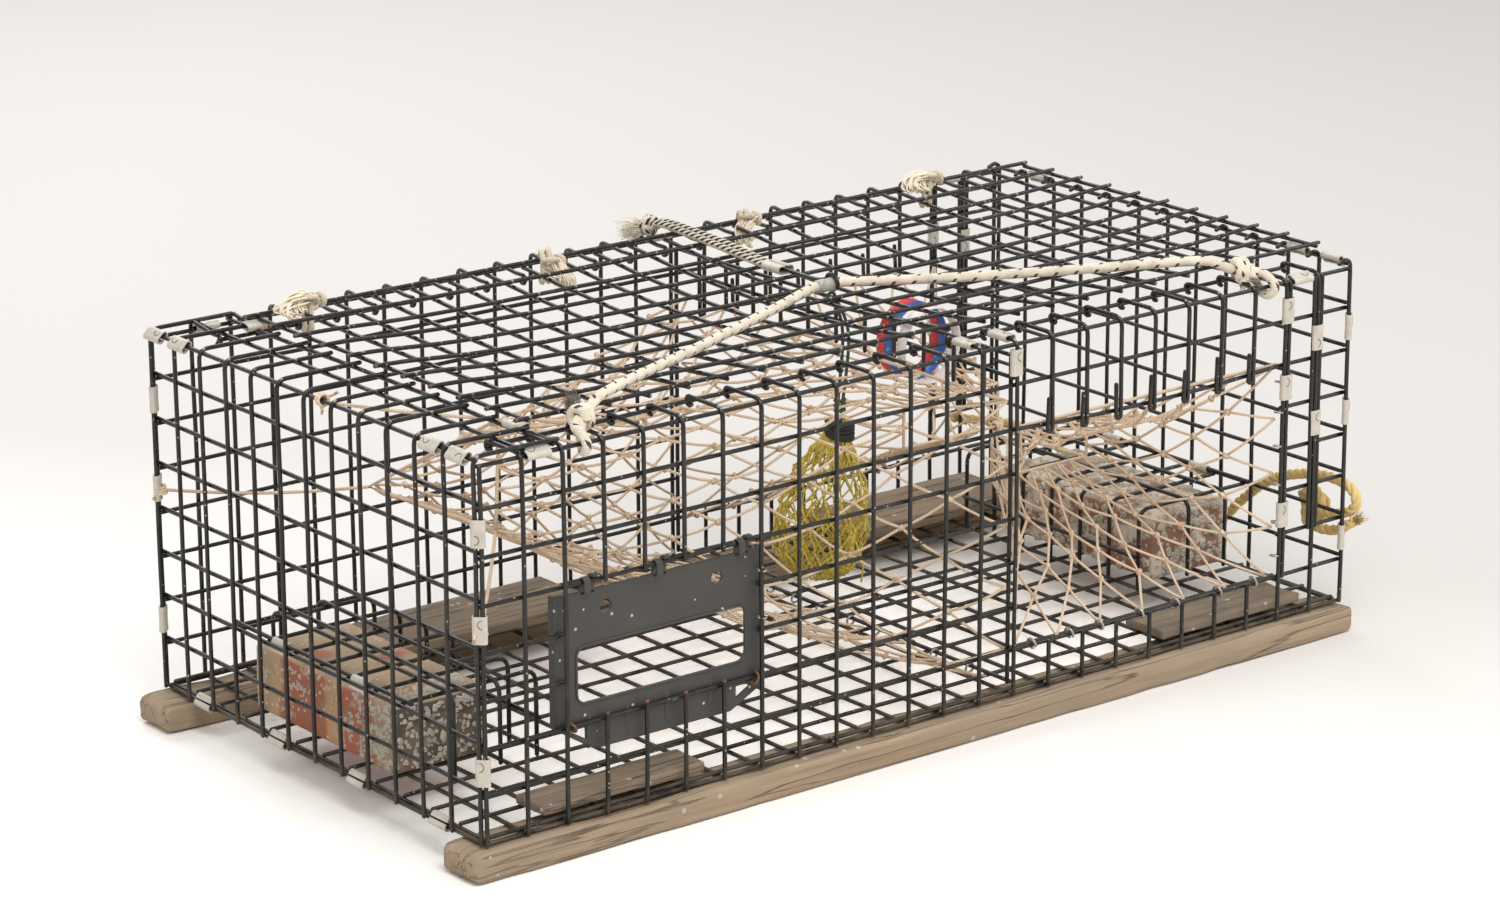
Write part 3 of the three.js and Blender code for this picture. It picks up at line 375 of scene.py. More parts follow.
# Braided sheath with coloured ticks that wind round it
def sheathFinish(name, base, tick, ticksPerMetre, tickShare, winds, rowShare=1.0, rowCount=2.0):
    material, tree = newFinish(name, 0.8)
    run = cordRun(tree)
    height = calc(tree, "MAXIMUM", ripple(tree, run, 420.0, 8.0), ripple(tree, run, 420.0, -8.0))
    patch = [c * 0.72 for c in base]
    tone = useGroup(tree, "mottle", base=base, patch=patch, scale=60.0, level=0.56, softness=0.12)
    shaded = mixed(tree, span(tree, height, 0.35, 0.9, 0.55, 0.0), tone["Color"], [c * 0.5 for c in base])
    ticks = calc(tree, "FRACT", add(tree, times(tree, run[0], ticksPerMetre), times(tree, run[1], winds)))
    rows = calc(tree, "FRACT", times(tree, run[1], rowCount))
    dark = times(tree, calc(tree, "LESS_THAN", ticks, tickShare), calc(tree, "LESS_THAN", rows, rowShare))
    return dressed(material, mixed(tree, dark, shaded, tick), height, 0.6, 0.0007)


finishes = {
    "wire": wireFinish("coatedWire", wireCoat),
    "wood": woodFinish("weatheredWood", (0.52, 0.39, 0.265), (0.26, 0.185, 0.12), (0.07, 0.05, 0.034),
                       (0.34, 0.27, 0.195), 0.55),
    "darkWood": woodFinish("soakedWood", (0.40, 0.30, 0.20), (0.19, 0.14, 0.095), (0.035, 0.026, 0.018),
                           (0.20, 0.165, 0.13), 0.52),
    "twine": twineFinish("headTwine", (0.86, 0.68, 0.50), (0.60, 0.42, 0.28), (0.62, 0.45, 0.31)),
    "yellowRope": twineFinish("yellowRope", (0.98, 0.74, 0.31), (0.60, 0.40, 0.14), (0.68, 0.49, 0.21), 900.0, 7.0),
    "cotton": twineFinish("cottonRope", (0.86, 0.78, 0.65), (0.55, 0.45, 0.33), (0.62, 0.51, 0.38), 520.0, 4.0),
    "bristle": twineFinish("bristle", (0.30, 0.26, 0.21), (0.18, 0.15, 0.12), (0.2, 0.17, 0.14), 60.0, 1.0),
    "frayed": twineFinish("frayedCotton", (1.0, 0.91, 0.76), (0.90, 0.78, 0.61), (0.80, 0.67, 0.50), 60.0, 1.0),
    "greenCord": twineFinish("greenCord", (0.06, 0.13, 0.10), (0.02, 0.04, 0.03), (0.10, 0.12, 0.08), 700.0, 3.0),
    "darkCord": twineFinish("darkCord", (0.05, 0.052, 0.048), (0.015, 0.016, 0.015), (0.07, 0.07, 0.06),
                            700.0, 3.0),
    "brightGreen": twineFinish("brightGreen", (0.12, 0.42, 0.13), (0.05, 0.2, 0.06), (0.2, 0.35, 0.15), 60.0, 1.0),
    "baitNet": twineFinish("baitNet", (0.95, 0.76, 0.15), (0.62, 0.47, 0.08), (0.52, 0.42, 0.12), 800.0, 2.0),
    # Painted shade for the pressed notches of the crimps
    "notchShade": metalFinish("notchShade", (0.12, 0.10, 0.08), (0.2, 0.17, 0.13), (0.2, 0.13, 0.08), 0.6, 0.8, 0.0),
    "aluminium": metalFinish("crimpAluminium", (0.69, 0.65, 0.575), (0.55, 0.515, 0.445), (0.38, 0.30, 0.21),
                             0.72, 0.45, 0.25),
    "rust": metalFinish("rustySteel", (0.17, 0.09, 0.055), (0.10, 0.06, 0.045), (0.21, 0.095, 0.045),
                        0.5, 0.7, 0.3),
    "ring": metalFinish("ringSteel", (0.55, 0.53, 0.50), (0.36, 0.33, 0.29), (0.27, 0.16, 0.09), 0.62, 0.35, 0.9),
    "shell": metalFinish("barnacle", (0.70, 0.66, 0.58), (0.52, 0.47, 0.39), (0.36, 0.29, 0.22), 0.62, 0.8, 0.0),
    "vent": plasticFinish("ventPlastic", (0.050, 0.049, 0.046), (0.068, 0.065, 0.06), (0.5, 0.48, 0.44),
                          0.46, 0.022),
    "red": plasticFinish("redBand", (0.86, 0.04, 0.032), (0.72, 0.06, 0.05), (0.8, 0.35, 0.32), 0.38),
    "white": plasticFinish("whiteBand", (0.92, 0.87, 0.86), (0.85, 0.72, 0.72), (0.62, 0.56, 0.52), 0.38),
    "blue": plasticFinish("blueBand", (0.03, 0.13, 0.56), (0.045, 0.15, 0.48), (0.3, 0.38, 0.6), 0.38),
    "bungee": sheathFinish("bungeeSheath", (0.95, 0.85, 0.70), (0.07, 0.062, 0.055), 58.0, 0.17, 1.0, 0.5, 3.0),
    "braid": sheathFinish("latchBraid", (0.80, 0.71, 0.57), (0.02, 0.02, 0.02), 150.0, 0.5, 3.0, 0.55),
    "sleeve": sheathFinish("bungeeSleeve", (0.56, 0.54, 0.50), (0.4, 0.39, 0.36), 30.0, 0.1, 1.0),
}
print("finishes made:", len(finishes))


# Modelling helpers
def place(piece, finish, body, nodes=()):
    piece.data.materials.clear()
    piece.data.materials.append(finishes[finish])
    if body:
        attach(piece, body)
    if nodes:
        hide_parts(*nodes)
    return piece


def choose(*pieces):
    bpy.ops.object.select_all(action="DESELECT")
    for piece in pieces:
        piece.select_set(True)
    if pieces:
        bpy.context.view_layer.objects.active = pieces[0]


def linked(name, data):
    piece = bpy.data.objects.new(name, data)
    bpy.context.scene.collection.objects.link(piece)
    return piece


def smoothed(piece):
    piece.data.polygons.foreach_set("use_smooth", [True] * len(piece.data.polygons))
    return piece


def meshPiece(name, points, faces, turns=None):
    data = bpy.data.meshes.new(name)
    data.from_pydata(points, [], faces)
    if turns:
        layer = data.uv_layers.new(name="UVMap")
        for at, corner in enumerate(turns):
            layer.data[at].uv = corner
    data.update()
    return smoothed(linked(name, data))


def mergeParts(parts):
    verts, faces, turns = [], [], []
    for someVerts, someFaces, someTurns in parts:
        base = len(verts)
        verts += someVerts
        faces += [tuple(base + corner for corner in face) for face in someFaces]
        turns += someTurns
    return verts, faces, turns


def partsPiece(name, parts, finish, body, nodes=()):
    return place(meshPiece(name, *mergeParts(parts)), finish, body, nodes)


# Faces turned outwards, edges eased by a bevel where it has a width, and sharp edges kept sharp
def trimmed(piece, angle, width=0.0, segments=2):
    choose(piece)
    bpy.ops.object.mode_set(mode="EDIT")
    bpy.ops.mesh.select_all(action="SELECT")
    bpy.ops.mesh.normals_make_consistent(inside=False)
    bpy.ops.object.mode_set(mode="OBJECT")
    if width:
        soft = piece.modifiers.new("soft", "BEVEL")
        soft.width, soft.segments, soft.limit_method = width, segments, "ANGLE"
        soft.angle_limit = radians(angle)
        bpy.ops.object.modifier_apply(modifier="soft")
        smoothed(piece)
    bpy.ops.object.shade_smooth_by_angle(angle=radians(angle))
    choose()
    return piece


def curvePiece(name, runs, closed=False, **settings):
    line = bpy.data.curves.new(name, "CURVE")
    for key, value in settings.items():
        setattr(line, key, value)
    for run in runs:
        spline = line.splines.new("POLY")
        spline.points.add(len(run) - 1)
        spline.use_cyclic_u = closed
        for at, (point, thick) in zip(spline.points, run):
            at.co, at.radius = (*point, 1), thick
    choose(linked(name, line))
    bpy.ops.object.convert(target="MESH")
    piece = bpy.context.active_object
    choose()
    return piece


def rounded(points, bend, steps=5):
    made = [points[0]]
    for before, corner, after in zip(points, points[1:], points[2:]):
        into = (corner - before).normalized()
        out = (after - corner).normalized()
        turn = into.angle(out)
        if turn < 0.05:
            made.append(corner)
            continue
        reach = min(bend * tan(turn / 2), (corner - before).length / 2, (after - corner).length / 2)
        start, end = corner - into * reach, corner + out * reach
        for step in range(steps + 1):
            t = step / steps
            made.append(start * (1 - t) ** 2 + corner * 2 * t * (1 - t) + end * t ** 2)
    made.append(points[-1])
    return made


def divided(points, step):
    made = [points[0]]
    for before, after in zip(points, points[1:]):
        count = max(1, round((after - before).length / step))
        made += [before.lerp(after, at / count) for at in range(1, count + 1)]
    return made


def angles(count, perTurn):
    return [2 * pi * step / perTurn for step in range(count)]


def scatter(rng):
    return Vector([rng.uniform(-1, 1) for axis in range(3)])


def bowed(reach, share):
    return Vector((0, 0, reach * sin(pi * share)))


wireWork = {
    "seed": 1795888826, "step": cell / 3, "waver": 0.0008, "waverScale": 9.0, "bend": 0.008, "tip": 0.0012,
    "tipThick": 0.55,
}
noise.seed_set(wireWork["seed"])


# Wires that touch waver together, because the waver depends on the place alone. Without a seed of its own,
# noise_vector would start from the clock
def waver(point):
    return point + noise.noise_vector(point * wireWork["waverScale"]) * wireWork["waver"]


def wireRun(points, bend=wireWork["bend"]):
    line = [waver(p) for p in divided(rounded([Vector(p) for p in points], bend), wireWork["step"])]
    first, last = (end.lerp(after, min(0.9, wireWork["tip"] / (after - end).length))
                   for end, after in ((line[0], line[1]), (line[-1], line[-2])))
    thin = wireWork["tipThick"]
    return [(line[0], thin), (first, 1.0)] + [(p, 1.0) for p in line[1:-1]] + [(last, 1.0), (line[-1], thin)]


def rowRun(y, z, low, high):
    return wireRun([(low - rowStub, y, z), (high + rowStub, y, z)])


def deepRun(x, z, low, high):
    return wireRun([(x, low - rowStub, z), (x, high + rowStub, z)])


def postRun(x, y, low, high):
    return wireRun([(x, y, low - rowStub), (x, y, high + rowStub)])


def wirePanel(name, runs, nodes, body="frame"):
    piece = curvePiece(name, runs, dimensions="3D", bevel_depth=mesh["wireRadius"], bevel_resolution=2,
                       use_fill_caps=True)
    place(smoothed(piece), "wire", body, nodes)


# Front and rear walls: cells of the openings, and how their wires end
wall = {
    "entrance": (14, 22, 1, 6), "vent": (2, 7, 2, 5), "framed": (0, 14, 22, 24),
    "seams": ((22, 1, free), (23, 2, free), (23, 2, -free)), "bend": 0.009, "rearCrest": 0.0042, "rearBend": 0.0062,
    "flange": 0.01, "curlReach": 0.0037, "curlEnd": -150, "stub": 0.007, "hang": 0.003, "ventHang": 0.002,
    "hookReach": 0.0026, "hookTall": 0.027, "hookLean": 0.0012, "rowSag": 0.005,
}
rustyTips = []


def rowSpans(k, hasVent):
    first, last, low, high = wall["entrance"]
    ventFrom, ventTo, ventLow, ventHigh = wall["vent"]
    inEntrance = low < k < high
    spans = [(0, first if inEntrance else mesh["long"])]
    if hasVent and ventLow < k < ventHigh:
        spans = [(0, ventFrom), (ventTo, first)]
    return spans + [(last, mesh["long"])] if inEntrance else spans


def rowDip(x):
    first, last = (gx(i) for i in wall["entrance"][:2])
    return bowed(wall["rowSag"], (x - first) / (last - first)) if first < x < last else Vector((0, 0, 0))


def curl(x, y, z, side, reach, start, end, steps=7):
    turns = [radians(start + (end - start) * step / steps) for step in range(steps + 1)]
    return [Vector((x, y + side * reach * cos(turn), z + reach * sin(turn))) for turn in turns]


def wallWires(side, hasVent):
    runs = []
    rowY, borderY, seamY = (outY(side * (faceY - step)) for step in (free, weld, lift))
    edgeRow = gy(11) if side > 0 else gy(1)
    rng = random.Random(4 + side)
    for k in range(mesh["high"]):
        for start, end in rowSpans(k, hasVent):
            run = rowRun(borderY if k == 0 else rowY, gz(k), gx(start), gx(end))
            sags = k == wall["entrance"][3]
            runs.append([(p - rowDip(p.x) if sags else p, thick) for p, thick in run])
    runs += [rowRun(borderY, railZ, gx(0), gx(24)), rowRun(edgeRow, railZ, gx(1), gx(23))]

    def bentTop(x, y, low, hung=False):
        curled = curl(x, edgeRow, railZ, -side, wall["curlReach"], 90, wall["curlEnd"] + rng.uniform(-25, 30))
        crest, bend = 0.0, wall["bend"]
        if side > 0:
            crest, bend = wall["rearCrest"] * rng.uniform(0.7, 1.2), wall["rearBend"]
        line = [Vector((x, y, low)), Vector((x, y, flangeZ + crest)),
                Vector((x, edgeRow + side * wall["flange"], flangeZ))]
        line = rounded(line, bend) + curled
        if hung:
            reach, lean = wall["hookReach"], wall["hookLean"]
            lean, tall = rng.uniform(-lean, lean), wall["hookTall"] * rng.uniform(0.85, 1.1)
            hook = [Vector((x - reach * (1 - cos(turn)), y, low + reach * sin(turn)))
                    for turn in (radians(angle) for angle in range(180, 361, 30))]
            line = [Vector((x - 2 * reach + lean, y + side * rowStub, low + tall))] + hook + line[1:]
        return wireRun(line, 0.0)

    for i in range(mesh["long"] + 1):
        x = gx(i)
        y = outY(side * (faceY - (lift if i in wall["framed"] else 0)))
        if i in (0, mesh["long"]):
            runs.append(postRun(x, y, gz(0), railZ))
        elif wall["entrance"][0] < i < wall["entrance"][1]:
            runs.append(postRun(x, y, gz(0), gz(1) + rowStub))
            runs.append(bentTop(x, y, gz(6) - rowDip(x).z - wall["hang"], hung=True))
        elif hasVent and wall["vent"][0] < i < wall["vent"][1]:
            stub = wall["stub"] * rng.uniform(0.8, 1.2)
            runs.append(wireRun([(x, y, gz(0) - rowStub), (x, y, gz(2) + stub)]))
            rustyTips.append(runs[-1][-3:])
            runs.append(bentTop(x, y, gz(5) - wall["ventHang"]))
        else:
            runs.append(bentTop(x, y, gz(0) - rowStub))
    return runs + [postRun(gx(i) + step, seamY, gz(k), railZ) for i, k, step in wall["seams"]]


wirePanel("front_wall_wires", wallWires(-1, True), [
    "front_panel_left", "front_vent_sill", "front_vent_header", "front_panel_middle", "front_entrance_sill",
    "front_entrance_header", "front_panel_right"])
wirePanel("rear_wall_wires", wallWires(1, False), [
    "rear_panel_left", "rear_entrance_sill", "rear_entrance_header", "rear_panel_right"])

# Left and right ends
ends = {
    "leftReach": 2 * cell + 0.005, "rightReach": 0.016, "leftRows": (1.144, 1.856), "bend": 0.009, "droop": 0.003,
}


def endWires(side, reach, flangeRows):
    rowX, borderX = (outX(side * (faceX - step)) for step in (free, weld))
    low, high = gy(0), gy(mesh["deep"])
    inner = faceY - weld - free
    runs = [wireRun([(borderX, outY(-inner), gz(0)), (borderX, outY(inner), gz(0))])]
    runs += [deepRun(rowX, gz(k) + free, low, high) for k in range(1, mesh["high"])]
    runs += [deepRun(x, endRailZ, low, high) for x in [borderX] + [gx(i) for i in flangeRows]]
    rng = random.Random(7 + side)
    for j in range(mesh["deep"] + 1):
        x = outX(side * (faceX - (lift if j in (0, mesh["deep"]) else 0)))
        tip = outX(side * (faceX - reach * rng.uniform(0.94, 1.0)))
        line = [Vector((x, gy(j), gz(0) - rowStub)), Vector((x, gy(j), endFlangeZ)),
                Vector((tip, gy(j), endFlangeZ))]
        if side > 0:
            line = rounded(line, ends["bend"])
            line[-1].z -= ends["droop"]
        runs.append(wireRun(line, ends["bend"]))
    return runs


wirePanel("left_end_wires", endWires(-1, ends["leftReach"], ends["leftRows"]), ["left_end_panel"])
wirePanel("right_end_wires", endWires(1, ends["rightReach"], ()), ["right_end_panel"])


def floorWires():
    edgeX, edgeY = faceX - weld - free, faceY - weld - wireEdge
    runs = []
    for i in range(mesh["long"] + 1):
        border = i in (0, mesh["long"])
        x = outX(copysign(edgeX, gx(i))) if border else gx(i)
        z = gz(0) + (lift if border else 0)
        runs.append(wireRun([(x, outY(-edgeY), z), (x, outY(edgeY), z)]))
    for j in range(mesh["deep"] + 1):
        border = j in (0, mesh["deep"])
        y = outY(copysign(edgeY - rowStub, gy(j))) if border else gy(j)
        runs.append(rowRun(y, gz(0) + (weld if border else free), outX(-edgeX), outX(edgeX)))
    return runs


wirePanel("floor_wires", floorWires(), ["floor_panel"])

# Partition between kitchen and parlour, with short wires under its top rail
partition = {"bottom": floorRest + 0.002, "mouthTop": gz(6.62), "secondRow": gz(7) + free}


def partitionWires():
    runs = [deepRun(partitionRowX, z, outY(-partitionEdge), outY(partitionEdge))
            for z in (partition["bottom"], partition["secondRow"], partitionTop)]
    for j in range(mesh["deep"] + 1):
        if j in (0, mesh["deep"]):
            y = outY(copysign(partitionEdge, gy(j)))
            runs.append(postRun(partitionX, y, partition["bottom"], partitionTop))
        else:
            runs.append(wireRun([(partitionX, gy(j), partition["mouthTop"]),
                                 (partitionX, gy(j), partitionTop + rowStub)]))
    return runs


wirePanel("partition_wires", partitionWires(), ["partition_frame"])

# Lid: it hangs a little in the middle, by shares at columns and rows of the mesh
lid = {
    "from": 2, "stub": 0.014, "peg": 0.004, "sag": 0.012, "spread": (-0.6, -0.3, 0.0, 0.3, 0.6),
    "along": [(2, 0), (4, 0.55), (7, 0.9), (11, 1), (16, 1), (20, 0.8), (22.5, 0.5), (24, 0)],
    "across": [(1, 0), (2.5, 0.55), (4.5, 0.92), (6, 1), (7.5, 0.92), (9.5, 0.55), (11, 0)],
}


def lineShare(line, at):
    for (a, low), (b, high) in zip(line, line[1:]):
        if at <= b:
            return low + (high - low) * max(0.0, (at - a) / (b - a))
    return 0.0


def lidDrop(x, y):
    column = (x - mesh["shift"].x) / cell + mesh["long"] / 2
    row = (y - mesh["shift"].y) / cell + mesh["deep"] / 2
    along, across = (sum(lineShare(lid[key], at + step) for step in lid["spread"]) / len(lid["spread"])
                     for key, at in (("along", column), ("across", row)))
    return lid["sag"] * along * across


def lidWires():
    runs = []
    for i in range(lid["from"], mesh["long"] + 1):
        z = doorZ - (0 if i in (lid["from"], mesh["long"]) else lift)
        runs.append(deepRun(gx(i), z, gy(1), gy(11)))
    for j in range(1, mesh["deep"]):
        z = doorPivotZ if j in (1, 11) else doorZ + weld
        runs.append(wireRun([(gx(lid["from"]) - lid["stub"], gy(j), z), (gx(24) + lid["peg"], gy(j), z)]))
    runs = [[(p - Vector((0, 0, lidDrop(p.x, p.y))), thick) for p, thick in run] for run in runs]
    rustyTips.extend([run[2], run[1], run[0]] for run in runs[1 - mesh["deep"]:])
    return runs


wirePanel("lid_wires", lidWires(), ["door_panel"], body="lid")

# Wire hoods over the ballast bricks
hood = {
    "top": gz(2) + free, "bend": 0.012, "rows": range(3, 10), "front": gy(2.616), "rear": gy(9.384), "inset": 0.008,
    "left": (3.45, (1.1, 2.25)), "right": (20.55, (22.9, 21.75)),
}


def hoodWires(side, legColumn, crossColumns):
    railX = outX(side * (faceX - 2 * free))
    legX = gx(legColumn)
    front, rear, top, bend = hood["front"], hood["rear"], hood["top"], hood["bend"]
    crossZ, footZ = top + weld, floorRest + hood["inset"]
    runs = [wireRun([(railX, front, crossZ - lift), (railX, rear, crossZ - lift)])]
    for j in hood["rows"]:
        row = [(railX + side * rowStub, gy(j), top), (legX, gy(j), top), (legX, gy(j), floorRest)]
        runs.append(wireRun(row, bend))
    for x in (gx(i) for i in crossColumns):
        runs.append(wireRun([(x, front, footZ), (x, front, crossZ), (x, rear, crossZ), (x, rear, footZ)], bend))
    return runs + [deepRun(legX - side * weld, gz(1), gy(hood["rows"][0]), gy(hood["rows"][-1]))]


for side, name in ((-1, "left"), (1, "right")):
    wirePanel(f"{name}_hood_wires", hoodWires(side, *hood[name]), [f"{name}_ballast_cage"])
print("wire panels made")


# Tubes for twine, rope and cord
def runLengths(points):
    lengths = [0.0]
    for before, after in zip(points, points[1:]):
        lengths.append(lengths[-1] + (after - before).length)
    return lengths


def lineTangents(points, closed=False):
    if closed:
        return [(after - before).normalized()
                for before, after in zip(points[-1:] + points, points[1:] + points[:1])]
    return [(after - before).normalized() for before, after in zip(points[:1] + points, points[1:] + points[-1:])]


def carried(tangents, normal):
    normals = [normal]
    for before, after in zip(tangents, tangents[1:]):
        normal = before.rotation_difference(after) @ normal
        normals.append((normal - after * normal.dot(after)).normalized())
    return normals


def turnedBy(tangent, normal, angle):
    return normal * cos(angle) + tangent.cross(normal) * sin(angle)


def tubeParts(points, radius, sides, closed=False, radii=None):
    points = [Vector(p) for p in points]
    count = len(points)
    tangents = lineTangents(points, closed)
    first = tangents[0]
    normals = carried(tangents, first.cross(Vector((0, 0, 1) if abs(first.z) < 0.9 else (1, 0, 0))).normalized())
    drift = 0.0
    if closed:
        final = tangents[-1].rotation_difference(tangents[0]) @ normals[-1]
        drift = atan2(final.cross(normals[0]).dot(tangents[0]), final.dot(normals[0]))
    runs = runLengths(points + points[:1] if closed else points)
    verts, faces, turns = [], [], []
    for at in range(count):
        for angle in angles(sides, sides):
            out = turnedBy(tangents[at], normals[at], angle + drift * at / count)
            verts.append(points[at] + out * (radii[at] if radii else radius))
    for at in range(count if closed else count - 1):
        low, high = at * sides, (at + 1) % count * sides
        for side in range(sides):
            after = (side + 1) % sides
            faces.append((low + side, low + after, high + after, high + side))
            turns += [(runs[run], turn / sides)
                      for run, turn in ((at, side), (at, side + 1), (at + 1, side + 1), (at + 1, side))]
    if not closed:
        faces += [tuple(reversed(range(sides))), tuple(range((count - 1) * sides, count * sides))]
        turns += [(runs[0], 0.0)] * sides + [(runs[-1], 0.0)] * sides
    return verts, faces, turns


# Three-strand laid rope: the strands wind round the line that the rope follows
def laidRope(line, radius, lead, sides=7, strands=3, strandShare=0.53):
    points = [Vector(p) for p in line]
    tangents = lineTangents(points)
    normals = carried(tangents, tangents[0].orthogonal().normalized())
    runs = runLengths(points)
    strandRadius = radius * strandShare
    parts = []
    for strand in range(strands):
        path = [point + turnedBy(tangent, normal, 2 * pi * (run / lead + strand / strands))
                * (radius - strandRadius) for point, tangent, normal, run in zip(points, tangents, normals, runs)]
        parts.append(tubeParts(path, strandRadius, sides))
    return parts


def smoothLine(points, steps):
    points = [Vector(p) for p in points]
    padded = [points[0] * 2 - points[1]] + points + [points[-1] * 2 - points[-2]]
    made = []
    for a, b, c, d in zip(padded, padded[1:], padded[2:], padded[3:]):
        for step in range(steps):
            t = step / steps
            made.append(((b * 2) + (c - a) * t + (a * 2 - b * 5 + c * 4 - d) * t * t
                         + (b * 3 - a - c * 3 + d) * t ** 3) / 2)
    made.append(points[-1])
    return made


def knotParts(center, radius, along, rng, rings=4, around=7):
    axis = Vector(along).normalized()
    side = axis.orthogonal().normalized()
    other = axis.cross(side)
    long = axis * radius * 1.25
    start = rng.uniform(0, pi)
    verts, faces, turns = [center - long], [], []
    for ring in range(1, rings):
        angle = pi * ring / rings
        for step in angles(around, around):
            turn = step + start + 0.5 * ring
            reach = radius * sin(angle) * (1 + 0.22 * sin(2 * turn + ring))
            verts.append(center - long * cos(angle) + (side * cos(turn) + other * sin(turn)) * reach)
    verts.append(center + long)
    for step in range(around):
        after = (step + 1) % around
        faces.append((0, 1 + after, 1 + step))
        turns += [(0.0, 0.0)] * 3
        for ring in range(rings - 2):
            low = 1 + ring * around
            faces.append((low + step, low + after, low + around + after, low + around + step))
            turns += [(0.001 * up, turn / around)
                      for up, turn in ((ring, step), (ring, step + 1), (ring + 1, step + 1), (ring + 1, step))]
        low = 1 + (rings - 2) * around
        faces.append((low + step, low + after, len(verts) - 1))
        turns += [(0.0, 0.0)] * 3
    return verts, faces, turns


# Loose fibres at the end of a cord
def tuftParts(root, way, length, radius, count, spread, rng, thin=0.00035):
    parts = []
    way = Vector(way).normalized()
    for fibre in range(count):
        drift = scatter(rng)
        start = root + scatter(rng) * radius
        tip = start + (way + drift * spread).normalized() * length * rng.uniform(0.55, 1.0)
        middle = start.lerp(tip, 0.5) + scatter(rng) * length * 0.15
        parts.append(tubeParts([start, middle, tip], thin, 3, radii=[thin, thin, thin * 0.3]))
    return parts


# Twines of a diamond net, from each knot to its two neighbours in the next row
def netTwines(knots, rows, around):
    for row in range(rows):
        for column in range(around):
            for step in ((0, 1) if row % 2 else (-1, 0)):
                yield knots[row, column], knots[row + 1, (column + step) % around]


def netKnots(knots, rows, radius, rng):
    return [knotParts(where, radius, (rng.uniform(-1, 1), rng.uniform(-1, 1), 1), rng)
            for (row, column), where in knots.items() if 0 < row < rows]


def ringSpot(corners, share):
    lengths = [(b - a).length for a, b in zip(corners, corners[1:] + corners[:1])]
    left = share % 1.0 * sum(lengths)
    for at, length in enumerate(lengths):
        if left <= length:
            return corners[at].lerp(corners[(at + 1) % len(corners)], left / length)
        left -= length
    return corners[0]


# Knotted heads: diamond meshes between a rim on the wires and the ring of the throat
def headNet(name, corners, throat, settings, node):
    rng = random.Random(settings["seed"])
    around, rows = settings["around"], settings["rows"]
    knots = {}
    for row in range(rows + 1):
        share = (row / rows) ** settings["pull"]
        arch = sin(pi * share)
        for column in range(around):
            turn = (column + 0.5 * (row % 2)) / around
            where = ringSpot(corners, turn).lerp(ringSpot(throat, turn), share)
            if 0 < row < rows:
                heart = (corners[0] + corners[2]).lerp(throat[0] + throat[2], share) / 2
                where = where.lerp(heart, settings["waist"] * arch)
                where += scatter(rng) * (settings["loose"] * arch ** 0.5)
                height = (where.z - corners[0].z) / (corners[2].z - corners[0].z)
                where.z -= settings["sag"] * (height ** 2 if settings["waist"] else 1.0) * arch
                where = Vector([min(max(v, low), high) for v, low, high in zip(where, *settings["box"])])
            knots[row, column] = where
    parts = []
    for start, end in netTwines(knots, rows, around):
        middle = start.lerp(end, 0.5)
        middle.z -= settings["droop"] * (end - start).length * rng.uniform(0.2, 1.0)
        sag = (middle - start.lerp(end, 0.5)) * 0.25
        line = [start, start.lerp(middle, 0.5) + sag, middle, middle.lerp(end, 0.5) + sag, end]
        parts.append(tubeParts(line, settings["twine"], 5))
    parts += netKnots(knots, rows, settings["knot"], rng)
    rimLine = [corners[2].lerp(corners[3], step / 8) for step in range(9)]
    throatLine = [a.lerp(b, step / 8) for a, b in zip(throat, throat[1:] + throat[:1]) for step in range(8)]
    parts.append(tubeParts(rimLine, settings["twine"] * 1.2, 6))
    parts.append(tubeParts(throatLine, settings["twine"] * 1.2, 6, closed=True))
    partsPiece(name, parts, "twine", "frame", [node])


entranceNet = {
    "around": 20, "rows": 6, "pull": 0.88, "loose": 0.0035, "sag": 0.022, "droop": 0.03, "waist": 0.12,
    "twine": 0.0012, "knot": 0.0029, "throatX": (17.3, 20.2), "throatZ": (3.15, 4.2), "throatY": 4.45,
    "rimGap": wireEdge + 2 * rimRadius, "rimY": faceY - free - wireEdge - rimRadius,
    "box": ((partitionRowX + 0.006, gy(0) + 0.004, floorRest + 0.002), (gx(22) + 0.006, gy(12) - 0.004, gz(6.3))),
}


def entranceRim(side):
    left, right = gx(14) + entranceNet["rimGap"], gx(22) - 0.4 * entranceNet["rimGap"]
    y = outY(side * entranceNet["rimY"])
    return [Vector((x, y, gz(k))) for x, k in ((left, 1), (right, 1), (right, 6), (left, 6))]


def entranceThroat(side):
    row = entranceNet["throatY"] if side < 0 else mesh["deep"] - entranceNet["throatY"]
    (left, right), (low, high) = entranceNet["throatX"], entranceNet["throatZ"]
    return [spot(i, row, k) for i, k in ((left, low), (right, low), (right, high), (left, high))]


for side, name, seed in ((-1, "front", 11), (1, "rear", 12)):
    headNet(f"{name}_head_netting", entranceRim(side), entranceThroat(side), {**entranceNet, "seed": seed},
            f"{name}_head_net")

